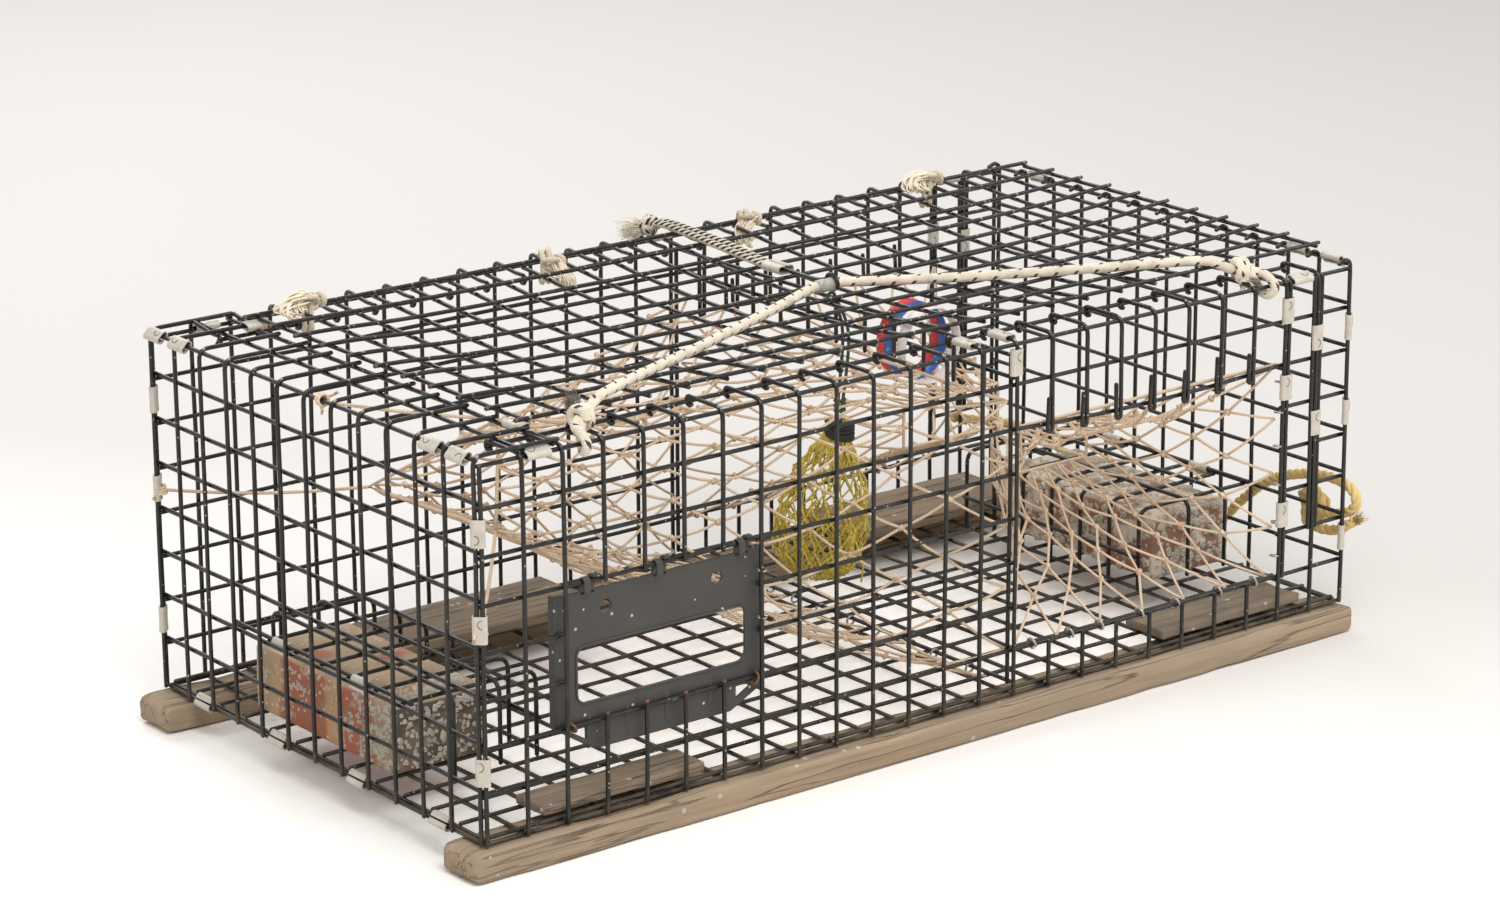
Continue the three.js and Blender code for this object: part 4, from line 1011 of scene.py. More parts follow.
parlourNet = {
    "around": 26, "rows": 11, "pull": 0.9, "loose": 0.006, "sag": 0.012, "droop": 0.06, "waist": 0.0,
    "twine": 0.00125, "knot": 0.0027, "seed": 21, "rimX": partitionX - wireEdge - rimRadius,
}
parlourNet["box"] = ((gx(3.4), gy(0) + 0.004, floorRest + 0.002), (parlourNet["rimX"], gy(12) - 0.004, gz(7.5)))
parlourRim = [Vector((parlourNet["rimX"], outY(side * partitionEdge), partition[level]))
              for side, level in ((1, "bottom"), (-1, "bottom"), (-1, "mouthTop"), (1, "mouthTop"))]
parlourThroat = [spot(3.5, 9.15, 4.57), spot(3.5, 4.4, 4.77), spot(3.5, 4.2, 7.25)]
headNet("parlour_head_netting", parlourRim, parlourThroat, parlourNet, "parlour_head_net")
print("heads netted")

# Twines that hold the throats open, each with a knot round the wire that it is tied to
postX = outX(-(faceX - free))
stays = {
    "rear_stay_twine": {"node": "rear_stay", "start": parlourThroat[0], "tied": (postX, gy(12), gz(4.5)),
                        "off": (0.002, -0.002, 0), "axis": (0, 0, 1), "sag": 0.004},
    "front_stay_twine": {"node": "front_stay", "start": parlourThroat[1], "tied": (postX, gy(0), gz(4.5)),
                         "off": (0.002, 0.002, 0), "axis": (0, 0, 1), "sag": 0.004},
    "top_stay_twine": {"node": "top_stay", "start": parlourThroat[2], "tied": (postX, gy(5.5), endRailZ),
                       "off": (0.002, 0, -0.002), "axis": (0, 1, 0), "sag": 0.002},
    "throat_joining_twine": {"node": "throat_twine", "start": entranceThroat(-1)[1], "tied": entranceThroat(1)[1],
                             "off": (0, 0, 0), "axis": (1, 0, 0), "sag": 0.003},
}
stayKnot = {
    "reach": 0.0040, "swell": 0.0006, "pitch": 0.0024, "middle": 1.6, "tail": 0.0013, "tailWide": 0.004,
    "tailDrop": -0.003, "tailLong": 0.012,
    "frays": {"length": 0.004, "radius": 0.0008, "count": 14, "spread": 0.5, "rng": random.Random(19),
              "thin": 0.0003},
}
for name, stay in stays.items():
    end = Vector(stay["tied"]) + Vector(stay["off"])
    stay["line"] = [stay["start"].lerp(end, t / 12) - bowed(stay["sag"], t / 12) for t in range(13)]
    parts = [tubeParts(stay["line"], twineRadius, 6)]
    stay["piece"] = partsPiece(name, parts, "twine", "frame", [stay["node"]])
for name, stay in stays.items():
    tied, axis = Vector(stay["tied"]), Vector(stay["axis"])
    side = axis.orthogonal().normalized()
    other = axis.cross(side)
    wrap = []
    for step, angle in enumerate(angles(46, 14)):
        reach = stayKnot["reach"] + stayKnot["swell"] * sin(angle * 0.31)
        wrap.append(tied + (side * cos(angle) + other * sin(angle)) * reach
                    + axis * (stayKnot["pitch"] * (step / 14 - stayKnot["middle"])))
    last = wrap[-1]
    parts = [tubeParts(wrap, twineRadius, 6)]
    for way in (-1, 1):
        tail = [last, last + side * stayKnot["tailWide"] * way + axis * stayKnot["tailDrop"],
                last + (side * way - axis).normalized() * stayKnot["tailLong"]]
        parts.append(tubeParts(smoothLine(tail, 4), stayKnot["tail"], 6))
        parts += tuftParts(tail[-1], tail[-1] - tail[0], **stayKnot["frays"])
    knot = partsPiece(name + "_knot", parts, "twine", "frame")

# Yellow rope bridle outside the right end, knotted near its front
bridle = {
    "radius": 0.005, "lead": 0.026, "standoff": 0.0015,
    "line": ((1.2, 1.95), (0.5, 1.9), (-0.15, 2.2), (-0.1, 2.6), (0.6, 2.75), (1.6, 2.6), (2.6, 2.2), (3.5, 1.5),
             (4.1, 0.9), (4.7, 0.4), (6, 0.25), (8, 0.45), (9.4, 1.05), (10.6, 1.45), (12.0, 1.42)),
    "corner": (24.12, -0.001, 1.42), "end": (22.9, 0.0, 1.75),
    "tail": ((1.4, 1.9), (1.3, 1.5), (0.5, 1.5), (-0.2, 1.9)),
    "knotAt": (1.2, 1.95), "knotWide": 0.0115, "knotDeep": 0.0035,
    "frays": {"length": 0.012, "radius": 0.003, "count": 70, "spread": 0.7, "rng": random.Random(31)},
}
bridleStep = wireEdge + bridle["radius"] + bridle["standoff"]
bridleX, bridleY = outX(faceX + bridleStep), outY(faceY + bridleStep)
bridlePoints = [Vector((bridleX, gy(j), gz(k))) for j, k in bridle["line"]]
bridlePoints += [Vector((gx(i), bridleY + step, gz(k))) for i, step, k in (bridle["corner"], bridle["end"])]
bridlePoints = smoothLine(bridlePoints, 12)
bridleTail = smoothLine([Vector((bridleX, gy(j), gz(k))) for j, k in bridle["tail"]], 10)
heart = Vector((bridleX + 0.001, gy(bridle["knotAt"][0]), gz(bridle["knotAt"][1])))
wide, deep = bridle["knotWide"], bridle["knotDeep"]
parts = []
for turn in range(2):
    ring = [heart + Vector((deep * sin(angle * 1.5 + turn) + 0.002, wide * cos(angle),
                            wide * 0.95 * sin(angle + turn * 0.5)))
            for angle in (step + turn * pi * 0.6 for step in angles(25, 16))]
    parts += laidRope(ring, bridle["radius"], bridle["lead"])
parts += laidRope(bridleTail, bridle["radius"], bridle["lead"])
parts += tuftParts(bridleTail[-1], bridleTail[-1] - bridleTail[-3], **bridle["frays"])
bridleRope = partsPiece("bridle_rope_laid", laidRope(bridlePoints, bridle["radius"], bridle["lead"]), "yellowRope",
                        "frame", ["bridle_rope"])
bridleKnot = partsPiece("bridle_knot_and_tail", parts, "yellowRope", "frame")

# Bungee across the lid: straight from knot to apex, but never below the top of the lid's wires
bungee = {
    "radius": 0.00425, "columns": {"left": 2.95, "right": 21.1}, "apex": (13.3, 5.5), "bend": 0.012, "step": 0.006,
    "knotIn": 0.021, "knotUp": 0.0125, "clear": 0.015, "sweeps": 3, "drawnIn": 0.4, "sleeve": 0.022,
    "sleeveShape": ((0, 0.0047), (0.04, 0.0056), (0.3, 0.0058), (0.5, 0.0056), (0.7, 0.0058), (0.96, 0.0056),
                    (1, 0.0047)),
}
railFront = outY(-(faceY - weld))
bungeeZ = doorTopZ + bungee["radius"]
bungeeKnots = {name: Vector((gx(column), railFront + bungee["knotIn"], railZ + bungee["knotUp"]))
               for name, column in bungee["columns"].items()}
apexX, apexY = gx(bungee["apex"][0]), gy(bungee["apex"][1])
apex = Vector((apexX, apexY, bungeeZ - lidDrop(apexX, apexY)))
apexReach = Vector((bungee["sleeve"] / 2 + bungee["radius"], 0, 0))
corners = [bungeeKnots["left"], apex - apexReach, apex + apexReach, bungeeKnots["right"]]
points = divided(rounded(corners, bungee["bend"], 6), bungee["step"])
heights = [p.z if min((p - end).length for end in bungeeKnots.values()) <= bungee["clear"]
           else max(p.z, bungeeZ - lidDrop(p.x, p.y)) for p in points]
for sweep in range(bungee["sweeps"]):
    heights[1:-1] = [(a + 2 * b + c) / 4 for a, b, c in zip(heights, heights[1:], heights[2:])]
bungeePoints = [Vector((p.x, p.y, height)) for p, height in zip(points, heights)]
sheath = partsPiece("bungee_cord_sheath", [tubeParts(bungeePoints, bungee["radius"], 16)], "bungee", "frame",
                    ["bungee_cord"])
sleeveLine = [apex + Vector((bungee["sleeve"] * (t - 0.5), 0, 0)) for t, radius in bungee["sleeveShape"]]
sleeveRadii = [radius for t, radius in bungee["sleeveShape"]]
sleeve = partsPiece("bungee_sleeve_cover", [tubeParts(sleeveLine, 0.0, 16, radii=sleeveRadii)], "sleeve", "frame",
                    ["bungee_sleeve"])
for piece in (sheath, sleeve):
    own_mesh(piece)
print("cords laid")


# Boards and bricks: a grid over a box whose edges are eased and whose faces are worn inwards
def blockParts(low, high, ease, step, wear):
    lists = []
    for a, b, r, pace in zip(low, high, ease, step):
        count = max(1, round((b - a - 2 * r) / pace))
        inner = [a + r + (b - a - 2 * r) * t / count for t in range(count + 1)]
        lists.append([a, a + 0.3 * r] + inner + [b - 0.3 * r, b])
    index, points, faces = {}, [], []

    def corner(key):
        if key not in index:
            index[key] = len(points)
            raw = Vector([lists[axis][key[axis]] for axis in range(3)])
            core = Vector([min(max(v, a + r), b - r) for v, a, b, r in zip(raw, low, high, ease)])
            share = Vector([(v - c) / r for v, c, r in zip(raw, core, ease)])
            share.normalize()
            points.append(core + Vector([s * r for s, r in zip(share, ease)]) - share * wear(raw))
        return index[key]

    for axis in range(3):
        u, v = [other for other in range(3) if other != axis]
        for end in (0, len(lists[axis]) - 1):
            for a in range(len(lists[u]) - 1):
                for b in range(len(lists[v]) - 1):
                    loop = []
                    for da, db in ((0, 0), (1, 0), (1, 1), (0, 1)):
                        key = [end, end, end]
                        key[u], key[v] = a + da, b + db
                        loop.append(corner(tuple(key)))
                    faces.append(tuple(reversed(loop)) if (end == 0) != (axis == 1) else tuple(loop))
    return points, faces, []


boardRelief = {"stretch": (7.0, 95.0, 95.0), "relief": 0.0009, "dent": 0.0013, "dentScale": 22.0}


def boardWear(seed):
    shift = Vector((seed * 3.1, seed * 1.7, 0))

    def wear(point):
        drawn = Vector([value * stretch for value, stretch in zip(point, boardRelief["stretch"])]) + shift
        dent = max(0.0, noise.noise(point * boardRelief["dentScale"] + shift)) * 2
        return boardRelief["relief"] * (0.5 + 0.5 * noise.noise(drawn)) + boardRelief["dent"] * dent
    return wear


runnerTop, inset = gz(0) - wireEdge, 0.0069
boardKinds = {
    "runner": {"ease": (0.011, 0.003, 0.006), "step": (0.006, 0.0045, 0.0045), "finish": "wood",
               "low": runnerTop - 0.025, "high": runnerTop},
    "lath": {"ease": (0.0018, 0.0018, 0.0018), "step": (0.005, 0.004, 0.003), "finish": "darkWood",
             "low": floorRest, "high": floorRest + 0.009},
    "plank": {"ease": (0.002, 0.002, 0.002), "step": (0.006, 0.005, 0.004), "finish": "darkWood",
              "low": floorRest, "high": floorRest + 0.011},
}
boards = {
    "front_runner": {"columns": (-0.5, 24.25), "depth": (-faceY - 0.010, -faceY + 0.036)},
    "rear_runner": {"columns": (-0.75, 24.1), "depth": (faceY - 0.046, faceY)},
    "front_left_lath": {"columns": (1.5, 5.65), "depth": (-faceY + inset, -faceY + 0.0449)},
    "front_right_lath": {"columns": (18.6, 22.9), "depth": (-faceY + inset, -faceY + 0.0549)},
    "rear_left_plank": {"columns": (4, 10), "depth": (faceY - 0.0909, faceY - inset)},
    "rear_right_plank": {"columns": (17.7, 23), "depth": (faceY - 0.0909, faceY - inset)},
}
for seed, (name, board) in enumerate(boards.items()):
    kind = boardKinds[name.split("_")[-1]]
    low, high = ((gx(column), outY(y), kind[end])
                 for column, y, end in zip(board["columns"], board["depth"], ("low", "high")))
    parts = [blockParts(low, high, kind["ease"], kind["step"], boardWear(seed))]
    partsPiece(name + "_board", parts, kind["finish"], "frame", [name])

# Ballast bricks in bands of clay and dirt, crusted with barnacles
bricks = {
    "left_brick": {
        "low": (gx(0.45), gy(6.515) - 0.1015, floorRest), "size": (0.092, 0.203, 0.057), "pit": 0.0016,
        "shells": (
            {"count": 640, "span": (0.0, 0.22), "tall": (0.06, 0.94), "size": (0.0010, 0.0030), "sides": "any"},
            {"count": 60, "span": (0.15, 0.76), "tall": (0.42, 0.96), "size": (0.0013, 0.0027), "sides": "left"},
        ),
        "crust": (0.60, 0.52, 0.42), "crustLevel": 0.62,
        "stops": [
            (0.0, (0.12, 0.095, 0.07)), (0.04, (0.40, 0.30, 0.20)), (0.13, (0.44, 0.335, 0.22)),
            (0.15, (0.47, 0.16, 0.095)), (0.35, (0.44, 0.155, 0.09)), (0.37, (0.62, 0.36, 0.19)),
            (0.47, (0.60, 0.34, 0.18)), (0.50, (0.42, 0.15, 0.09)), (0.80, (0.45, 0.16, 0.095)),
            (0.83, (0.60, 0.38, 0.21)), (0.92, (0.40, 0.31, 0.21)), (0.94, (0.66, 0.46, 0.27)),
            (1.0, (0.62, 0.44, 0.26)),
        ],
    },
    "right_brick": {
        "low": (gx(23.7) - 0.095, gy(5.965) - 0.1045, floorRest), "size": (0.095, 0.206, 0.060), "pit": 0.0034,
        "shells": (
            {"count": 420, "span": (0.0, 1.0), "tall": (0.06, 0.94), "size": (0.0014, 0.0044), "sides": "any"},
        ),
        "crust": (0.80, 0.70, 0.58), "crustLevel": 0.52,
        "stops": [
            (0.0, (0.34, 0.18, 0.13)), (0.3, (0.40, 0.18, 0.125)), (0.55, (0.34, 0.20, 0.15)),
            (0.75, (0.42, 0.17, 0.115)), (1.0, (0.32, 0.21, 0.16)),
        ],
    },
}
brickSides = {"any": ((0, 0), (0, 0), (1, 0), (1, 0), (2, 1), (2, 1), (0, 1)), "left": ((0, 0),)}
crater = {"corners": 8, "rings": ((1.0, -0.2), (0.62, 1.0), (0.42, 0.92), (0.22, 0.3))}


def craterParts(base, normal, radius, height, rng):
    side = normal.orthogonal().normalized()
    other = normal.cross(side)
    start = rng.uniform(0, pi)
    verts, faces = [], []
    for reach, rise in crater["rings"]:
        for angle in (start + step for step in angles(crater["corners"], crater["corners"])):
            wide = radius * reach * (1 + 0.12 * sin(3 * angle + start))
            verts.append(base + (side * cos(angle) + other * sin(angle)) * wide + normal * height * rise)
    for low in range(0, 24, 8):
        for step in range(8):
            after = (step + 1) % 8
            faces.append((low + step, low + after, low + 8 + after, low + 8 + step))
    faces += [tuple(range(24, 32)), tuple(reversed(range(8)))]
    return verts, faces, [(0.0, 0.0)] * (24 * 4 + 16)


def brickWear(pit, seed):
    shift = Vector((seed * 5.3, 0, seed))

    def wear(point):
        rough, fine = (0.5 + 0.5 * noise.noise(point * scale + shift) for scale in (60, 210))
        chip = max(0.0, noise.noise(point * 18 + shift) - 0.15)
        return pit * (0.45 * rough + 0.35 * fine + 1.2 * chip)
    return wear


for seed, (name, brick) in enumerate(bricks.items()):
    low, size = Vector(brick["low"]), Vector(brick["size"])
    high = low + size
    wear = brickWear(brick["pit"], seed)
    finishes[name] = clayFinish(name + "_clay", low.y, high.y, brick["stops"], brick["crust"], brick["crustLevel"])
    parts = [blockParts(low, high, (0.004, 0.004, 0.004), (0.0032, 0.0032, 0.0032), wear)]
    partsPiece(name + "_body", parts, name, "frame", [name])
    rng = random.Random(50 + seed)
    shells = []
    for group in brick["shells"]:
        for count in range(group["count"]):
            axis, end = rng.choice(brickSides[group["sides"]])
            share = Vector((rng.uniform(0.06, 0.94), rng.uniform(*group["span"]) * 0.94 + 0.03,
                            rng.uniform(*group["tall"])))
            share[axis] = end
            normal = Vector((0, 0, 0))
            normal[axis] = 1 if end else -1
            where = low + Vector([s * t for s, t in zip(size, share)])
            radius = rng.uniform(*group["size"])
            shells.append(craterParts(where - normal * (wear(where) + 0.0005), normal, radius, radius * 0.8, rng))
    partsPiece(name + "_barnacles", shells, "shell", "frame")
print("boards and bricks made")


# A profile drawn out along x
def extruded(profile, start, end, depth=0.0, height=0.0):
    count = len(profile)
    verts = [Vector((x, depth + y, height + z)) for x in (start, end) for y, z in profile]
    faces = [tuple(reversed(range(count))), tuple(range(count, 2 * count))]
    for at in range(count):
        after = (at + 1) % count
        faces.append((at, after, count + after, count + at))
    return verts, faces, []


# Escape vent: a plate with its holes, hooks over the wire, side walls and a lip round the window
vent = {
    "thick": 0.003, "front": outY(-(faceY - 0.0066)), "wireY": outY(-(faceY - free)), "wireZ": gz(5),
    "edge": 0.0005,
    "outline": [(1.86, 4.78), (1.86, 1.95), (2.85, 1.35), (6.3, 1.35), (7.2, 1.8), (7.2, 4.78)],
    "window": (2.37, 6.7, 2.4, 3.62), "corner": 0.008, "holes": [(3.13, 4.35), (5.97, 4.35)], "holeRadius": 0.0055,
    "gaps": [[(2.13, 1.9), (2.68, 1.9), (2.68, 1.57)], [(6.45, 1.9), (7.02, 1.9), (6.45, 1.6)]],
    "pairs": (2.68, 4.5, 6.62), "tabFoot": gz(4.7), "tabStep": 0.004, "tabWide": 0.0055, "tabInner": 0.0023,
    "frontTab": {"outer": 0.0041, "sweep": 180, "reach": 0.0085, "share": 1.1},
    "rearTab": {"outer": 0.0056, "sweep": 125, "reach": 0.0, "share": 0.95},
    "walls": ((7.12, 7.2, 1.86, 4.78), (1.86, 1.94, 1.97, 4.78), (2.83, 2.91, 1.37, 1.95)),
    "wallDepth": (0.001, 0.0095),
    "lip": 0.0011, "ribs": (2.67, 3.63, 4.65, 5.77), "ribUp": (1.4, 0.9),
    "ribRadii": [0.0012, 0.0022, 0.0028, 0.0029, 0.003, 0.0029, 0.0026, 0.002, 0.001],
}


def windowRing():
    left, right, low, high = vent["window"]
    r = vent["corner"]
    left, right, low, high = gx(left) + r, gx(right) - r, gz(low) + r, gz(high) - r
    return [(x + r * cos(radians(start + 15 * step)), z + r * sin(radians(start + 15 * step)))
            for x, z, start in ((right, high, 0), (left, high, 90), (left, low, 180), (right, low, 270))
            for step in range(7)]


def ventPlate():
    rings = [[(gx(i), gz(k)) for i, k in vent["outline"]], windowRing()]
    rings += [[(gx(i), gz(k)) for i, k in gap] for gap in vent["gaps"]]
    rings += [[(gx(i) + vent["holeRadius"] * cos(angle), gz(k) + vent["holeRadius"] * sin(angle))
               for angle in angles(24, 24)] for i, k in vent["holes"]]
    runs = [[((x, z, 0), 1.0) for x, z in ring] for ring in rings]
    edge = vent["edge"]
    piece = curvePiece("vent_plate", runs, closed=True, dimensions="2D", fill_mode="BOTH", bevel_depth=edge,
                       extrude=vent["thick"] / 2 - edge, bevel_resolution=1, offset=-edge)
    upright = Matrix.Rotation(radians(90), 4, "X")
    piece.data.transform(Matrix.Translation((0, vent["front"] + vent["thick"] / 2, 0)) @ upright)
    return piece


def ventTab(x, kind):
    inner, outer, drop = vent["tabInner"], kind["outer"], vent["wireZ"] - vent["tabFoot"]
    arc = [radians(kind["sweep"] * s / 8) for s in range(9)]
    profile = [(outer, -drop)] + [(outer * cos(a), outer * sin(a)) for a in arc]
    if kind["reach"]:
        profile += [(-outer, -kind["reach"]), (-inner, -kind["reach"])]
    profile += [(inner * cos(a), inner * sin(a)) for a in reversed(arc)] + [(inner, -drop)]
    wide = vent["tabWide"] * kind["share"]
    return extruded(profile, x - wide / 2, x + wide / 2, vent["wireY"], vent["wireZ"])


def ventDetails():
    parts = []
    for column in vent["pairs"]:
        parts.append(ventTab(gx(column) - vent["tabStep"] * 1.1, vent["frontTab"]))
        parts.append(ventTab(gx(column) + vent["tabStep"], vent["rearTab"]))
    near, far = (vent["front"] + step for step in vent["wallDepth"])
    for a, b, low, high in vent["walls"]:
        profile = [(near, gz(low)), (far, gz(low)), (far, gz(high)), (near, gz(high))]
        parts.append(extruded(profile, gx(a) + 0.0001, gx(b) - 0.0001))
    return trimmed(meshPiece("vent_details", *mergeParts(parts)), 35, vent["edge"])


def ventLips():
    rim = [(x, vent["front"] - 0.0002, z) for x, z in windowRing()]
    parts = [tubeParts(rim, vent["lip"], 8, closed=True)]
    start, tall = vent["ribUp"]
    for column in vent["ribs"]:
        line = [(gx(column), vent["front"] + 0.0016, gz(start + tall * t / 8)) for t in range(9)]
        parts.append(tubeParts(line, 0.0, 10, radii=vent["ribRadii"]))
    return meshPiece("vent_lips", *mergeParts(parts))


plate, details, lips = ventPlate(), ventDetails(), ventLips()
choose(plate, details, lips)
bpy.ops.object.join()
plate.name = plate.data.name = "escape_vent_frame"
choose()
place(plate, "vent", "vent", ["escape_vent"])

# Hog rings: open rings squeezed round wires
hog = {
    "turn": 320, "squeeze": 0.85, "rise": 0.6, "upright": (1.5, 2.3, 3.2, 4.1, 4.9, 5.6),
    "sill": (14.6, 15.7, 16.6, 17.8, 18.9, 20.2, 21.3),
    "mouth": (1.4, 2.6, 3.4, 4.6, 5.5, 6.6, 7.5, 8.4, 9.6, 10.5),
    "vent": (("vent_ring_left", 2.16, 0.5), ("vent_ring_right", 6.86, -0.5)), "seam": (4.33, 3.3),
}


def hogParts(center, axis, radius, thick, start=0.0):
    axis = Vector(axis).normalized()
    side = axis.orthogonal().normalized()
    other = axis.cross(side)
    line = []
    for share in (step / 14 for step in range(15)):
        angle = radians(start + hog["turn"] * share)
        line.append(Vector(center) + side * radius * cos(angle) + other * radius * hog["squeeze"] * sin(angle)
                    + axis * thick * hog["rise"] * (share - 0.5))
    return tubeParts(line, thick, 6)


for name, column, lean in hog["vent"]:
    parts = [hogParts((gx(column), vent["wireY"] - 0.0005, gz(2)), (1, 0.3, lean), 0.0052, 0.0011, 40)]
    partsPiece(name + "_wire", parts, "rust", "frame", [name])
rng = random.Random(77)
parts = []
for y in (outY(-(faceY - free)), outY(faceY - free)):
    parts += [hogParts((gx(22) - 0.001, y, gz(k)), (0.2, 0.1, 1), 0.0045, 0.0011, rng.uniform(0, 360))
              for k in hog["upright"]]
    parts += [hogParts((gx(i), y, gz(1) + 0.001), (1, 0.1, 0.2), 0.0045, 0.0011, rng.uniform(0, 360))
              for i in hog["sill"]]
parts += [hogParts((partitionX + 0.001, gy(j), floorRest + 0.001), (0.1, 1, 0.1), 0.0042, 0.001,
                   rng.uniform(0, 360)) for j in hog["mouth"]]
parts += [hogParts((gx(7) + 0.001, outY(-faceY) + 0.001, gz(k)), (0.1, 0, 1), 0.0042, 0.0008, 200)
          for k in hog["seam"]]
partsPiece("net_rings", parts, "ring", "frame")
print("vent and rings made")

# Aluminium crimps: a flat sleeve rolled round two wires, open along a gap, with a half-moon notch drawn as a dark
# line of painted shade
crimp = {
    "wall": 0.00095, "length": 0.022, "gap": 0.0016, "halfLong": 0.0034, "halfShort": 0.0021, "skew": 0.03,
    "levels": ((0, 1.03), (0.04, 1.06), (0.2, 1.0), (0.42, 0.96), (0.58, 0.96), (0.8, 1.0), (0.96, 1.06),
               (1, 1.03)),
    "notchAt": 0.22, "notchWide": 0.0042, "notchIn": 0.0030, "notchTall": 0.0038, "notch": 0.00036,
    "cornerLevels": (6.56, 4.56, 1.56),
    "corners": (("front_left", -1, -1), ("rear_left", -1, 1), ("front_right", 1, -1)),
}
notches = []
crimpRng = random.Random(91)


def crimpSection(halfLong, halfShort):
    r, gap = halfShort + crimp["wall"] / 2, crimp["gap"] / 2
    flat = halfLong - halfShort * 0.2

    def bend(x, start):
        return [(x + r * cos(a), r * sin(a)) for a in (radians(start + 180 * s / 8) for s in range(1, 8))]

    line = [(gap + (flat - gap) * t / 2, -r) for t in range(3)] + bend(flat, -90)
    line += [(flat - 2 * flat * t / 4, r) for t in range(5)] + bend(-flat, 90)
    line += [(-flat + (flat - gap) * t / 2, -r) for t in range(3)]
    outer, inner = [], []
    for at, (a, b) in enumerate(line):
        before, after = line[max(0, at - 1)], line[min(len(line) - 1, at + 1)]
        way = Vector((after[0] - before[0], after[1] - before[1])).normalized() * crimp["wall"] / 2
        outer.append((a + way.y, b - way.x))
        inner.append((a - way.y, b + way.x))
    return outer + inner[::-1], r


def crimpParts(center, spread, along, flip=1, plain=False, length=crimp["length"], halfLong=crimp["halfLong"],
               halfShort=crimp["halfShort"]):
    center, u, w = Vector(center), Vector(spread).normalized(), Vector(along).normalized()
    v = w.cross(u) * flip
    profile, r = crimpSection(halfLong, halfShort)
    skew = 0.0
    if not plain:
        skew = crimpRng.uniform(-crimp["skew"], crimp["skew"])
        offset = crimpRng.choice((-crimp["notchAt"], crimp["notchAt"])) * length
        turn = crimpRng.choice((-1, 1))
        mark = [center + u * turn * (crimp["notchWide"] * cos(angle) - crimp["notchIn"])
                + v * (r + crimp["wall"] / 2) * 0.99 + w * (offset + crimp["notchTall"] * sin(angle))
                for angle in (radians(-80 + 20 * step) for step in range(9))]
        notches.append(tubeParts(mark, crimp["notch"], 5))
    verts = [center + u * a * (1 + skew) + v * b * swell + w * length * (share - 0.5)
             for share, swell in crimp["levels"] for a, b in profile]
    count, last = len(profile), len(crimp["levels"]) - 1
    faces = [(low + at, low + (at + 1) % count, low + count + (at + 1) % count, low + count + at)
             for low in range(0, last * count, count) for at in range(count)]
    for start in (0, last * count):
        for at in range(count // 2 - 1):
            loop = (start + at, start + at + 1, start + count - 2 - at, start + count - 1 - at)
            faces.append(loop if start else loop[::-1])
    return verts, faces, []


for name, sideX, sideY in crimp["corners"]:
    x, y = (out(side * (count / 2 * cell + 0.002 - lift / 2))
            for out, side, count in ((outX, sideX, mesh["long"]), (outY, sideY, mesh["deep"])))
    for at, level in enumerate(crimp["cornerLevels"]):
        node = f"{name}_crimp_{at + 1}"
        parts = [crimpParts((x, y, gz(level)), (sideX, -sideY, 0), (0, 0, 1), sideX * sideY)]
        trimmed(partsPiece(node + "_sleeve", parts, "aluminium", "frame", [node]), 50)

# The other crimps: rows of centres that share a spread, a direction and a flip
along, across, upright = (1, 0, 0), (0, 1, 0), (0, 0, 1)
leftX, rightX = outX(-(faceX - weld / 2)), outX(faceX - weld / 2)
hoodX, hoodZ = faceX - 2 * free, gz(2) + 0.004
frontY, rearY = outY(-faceY + 0.0004), outY(faceY - 0.0004)
crimpRows = (
    ([(outX(-(faceX - weld / 2 - 0.001)), gy(j), gz(0) + 0.002) for j in (10.45, 7.5, 4.5, 1.5)], (0.6, 0, 1),
     across, 1),
    ([(gx(22) + free / 2, frontY, gz(k)) for k in (5.5, 2.5, 7.28)], along, upright, -1),
    ([(gx(23), frontY, gz(k)) for k in (6.5, 4.5)], along, upright, -1),
    ([(gx(i) + free / 2, rearY, gz(k)) for i, k in ((22, 6.6), (22, 4.4), (23, 6.3))], along, upright, -1),
    ([(leftX, gy(j), endRailZ) for j in (11.84, 10.87, 1.48, 0.55)], (1, 0, 1), across, -1),
    ([(gx(i), outY(-(faceY - 0.004)), railZ + 0.001) for i in (1.42, 22.5)], (0, 1, 0.5), along, 1),
    ([(gx(i), outY(faceY - 0.004), railZ + 0.001) for i in (1.29, 13.6, 22.5)], (0, -1, 0.5), along, -1),
    ([(gx(1.89), gy(10.9), endFlangeZ)], (0, 1, 0.2), along, 1),
    ([(gx(1.87), gy(1.29), endFlangeZ)], (1, 0, 0.2), across, -1),
    ([(rightX, gy(j), endRailZ) for j in (1.6, 0.51, 10.5)], (-1, 0, 1), across, 1),
    ([(outX(-hoodX) - 0.001, gy(j), hoodZ) for j in (7.5, 4.5)], (0.4, 0, 1), across, 1),
    ([(outX(hoodX) + 0.001, gy(j), hoodZ) for j in (7.5, 4.5)], (0.4, 0, -1), across, -1),
    ([(gx(i), gy(0.45), flangeZ) for i in (13, 14)], along, across, -1),
    ([(gx(14) - 0.002, outY(-faceY), gz(7.54))], along, upright, -1),
)
parts = [crimpParts(center, spread, run, flip) for centers, spread, run, flip in crimpRows for center in centers]
trimmed(partsPiece("edge_crimps", parts, "aluminium", "frame"), 50)
# Painted shade: thin dark lines on the crimps stand for the shade in their pressed notches
partsPiece("crimp_notches", notches, "notchShade", "frame")
print("crimps made")

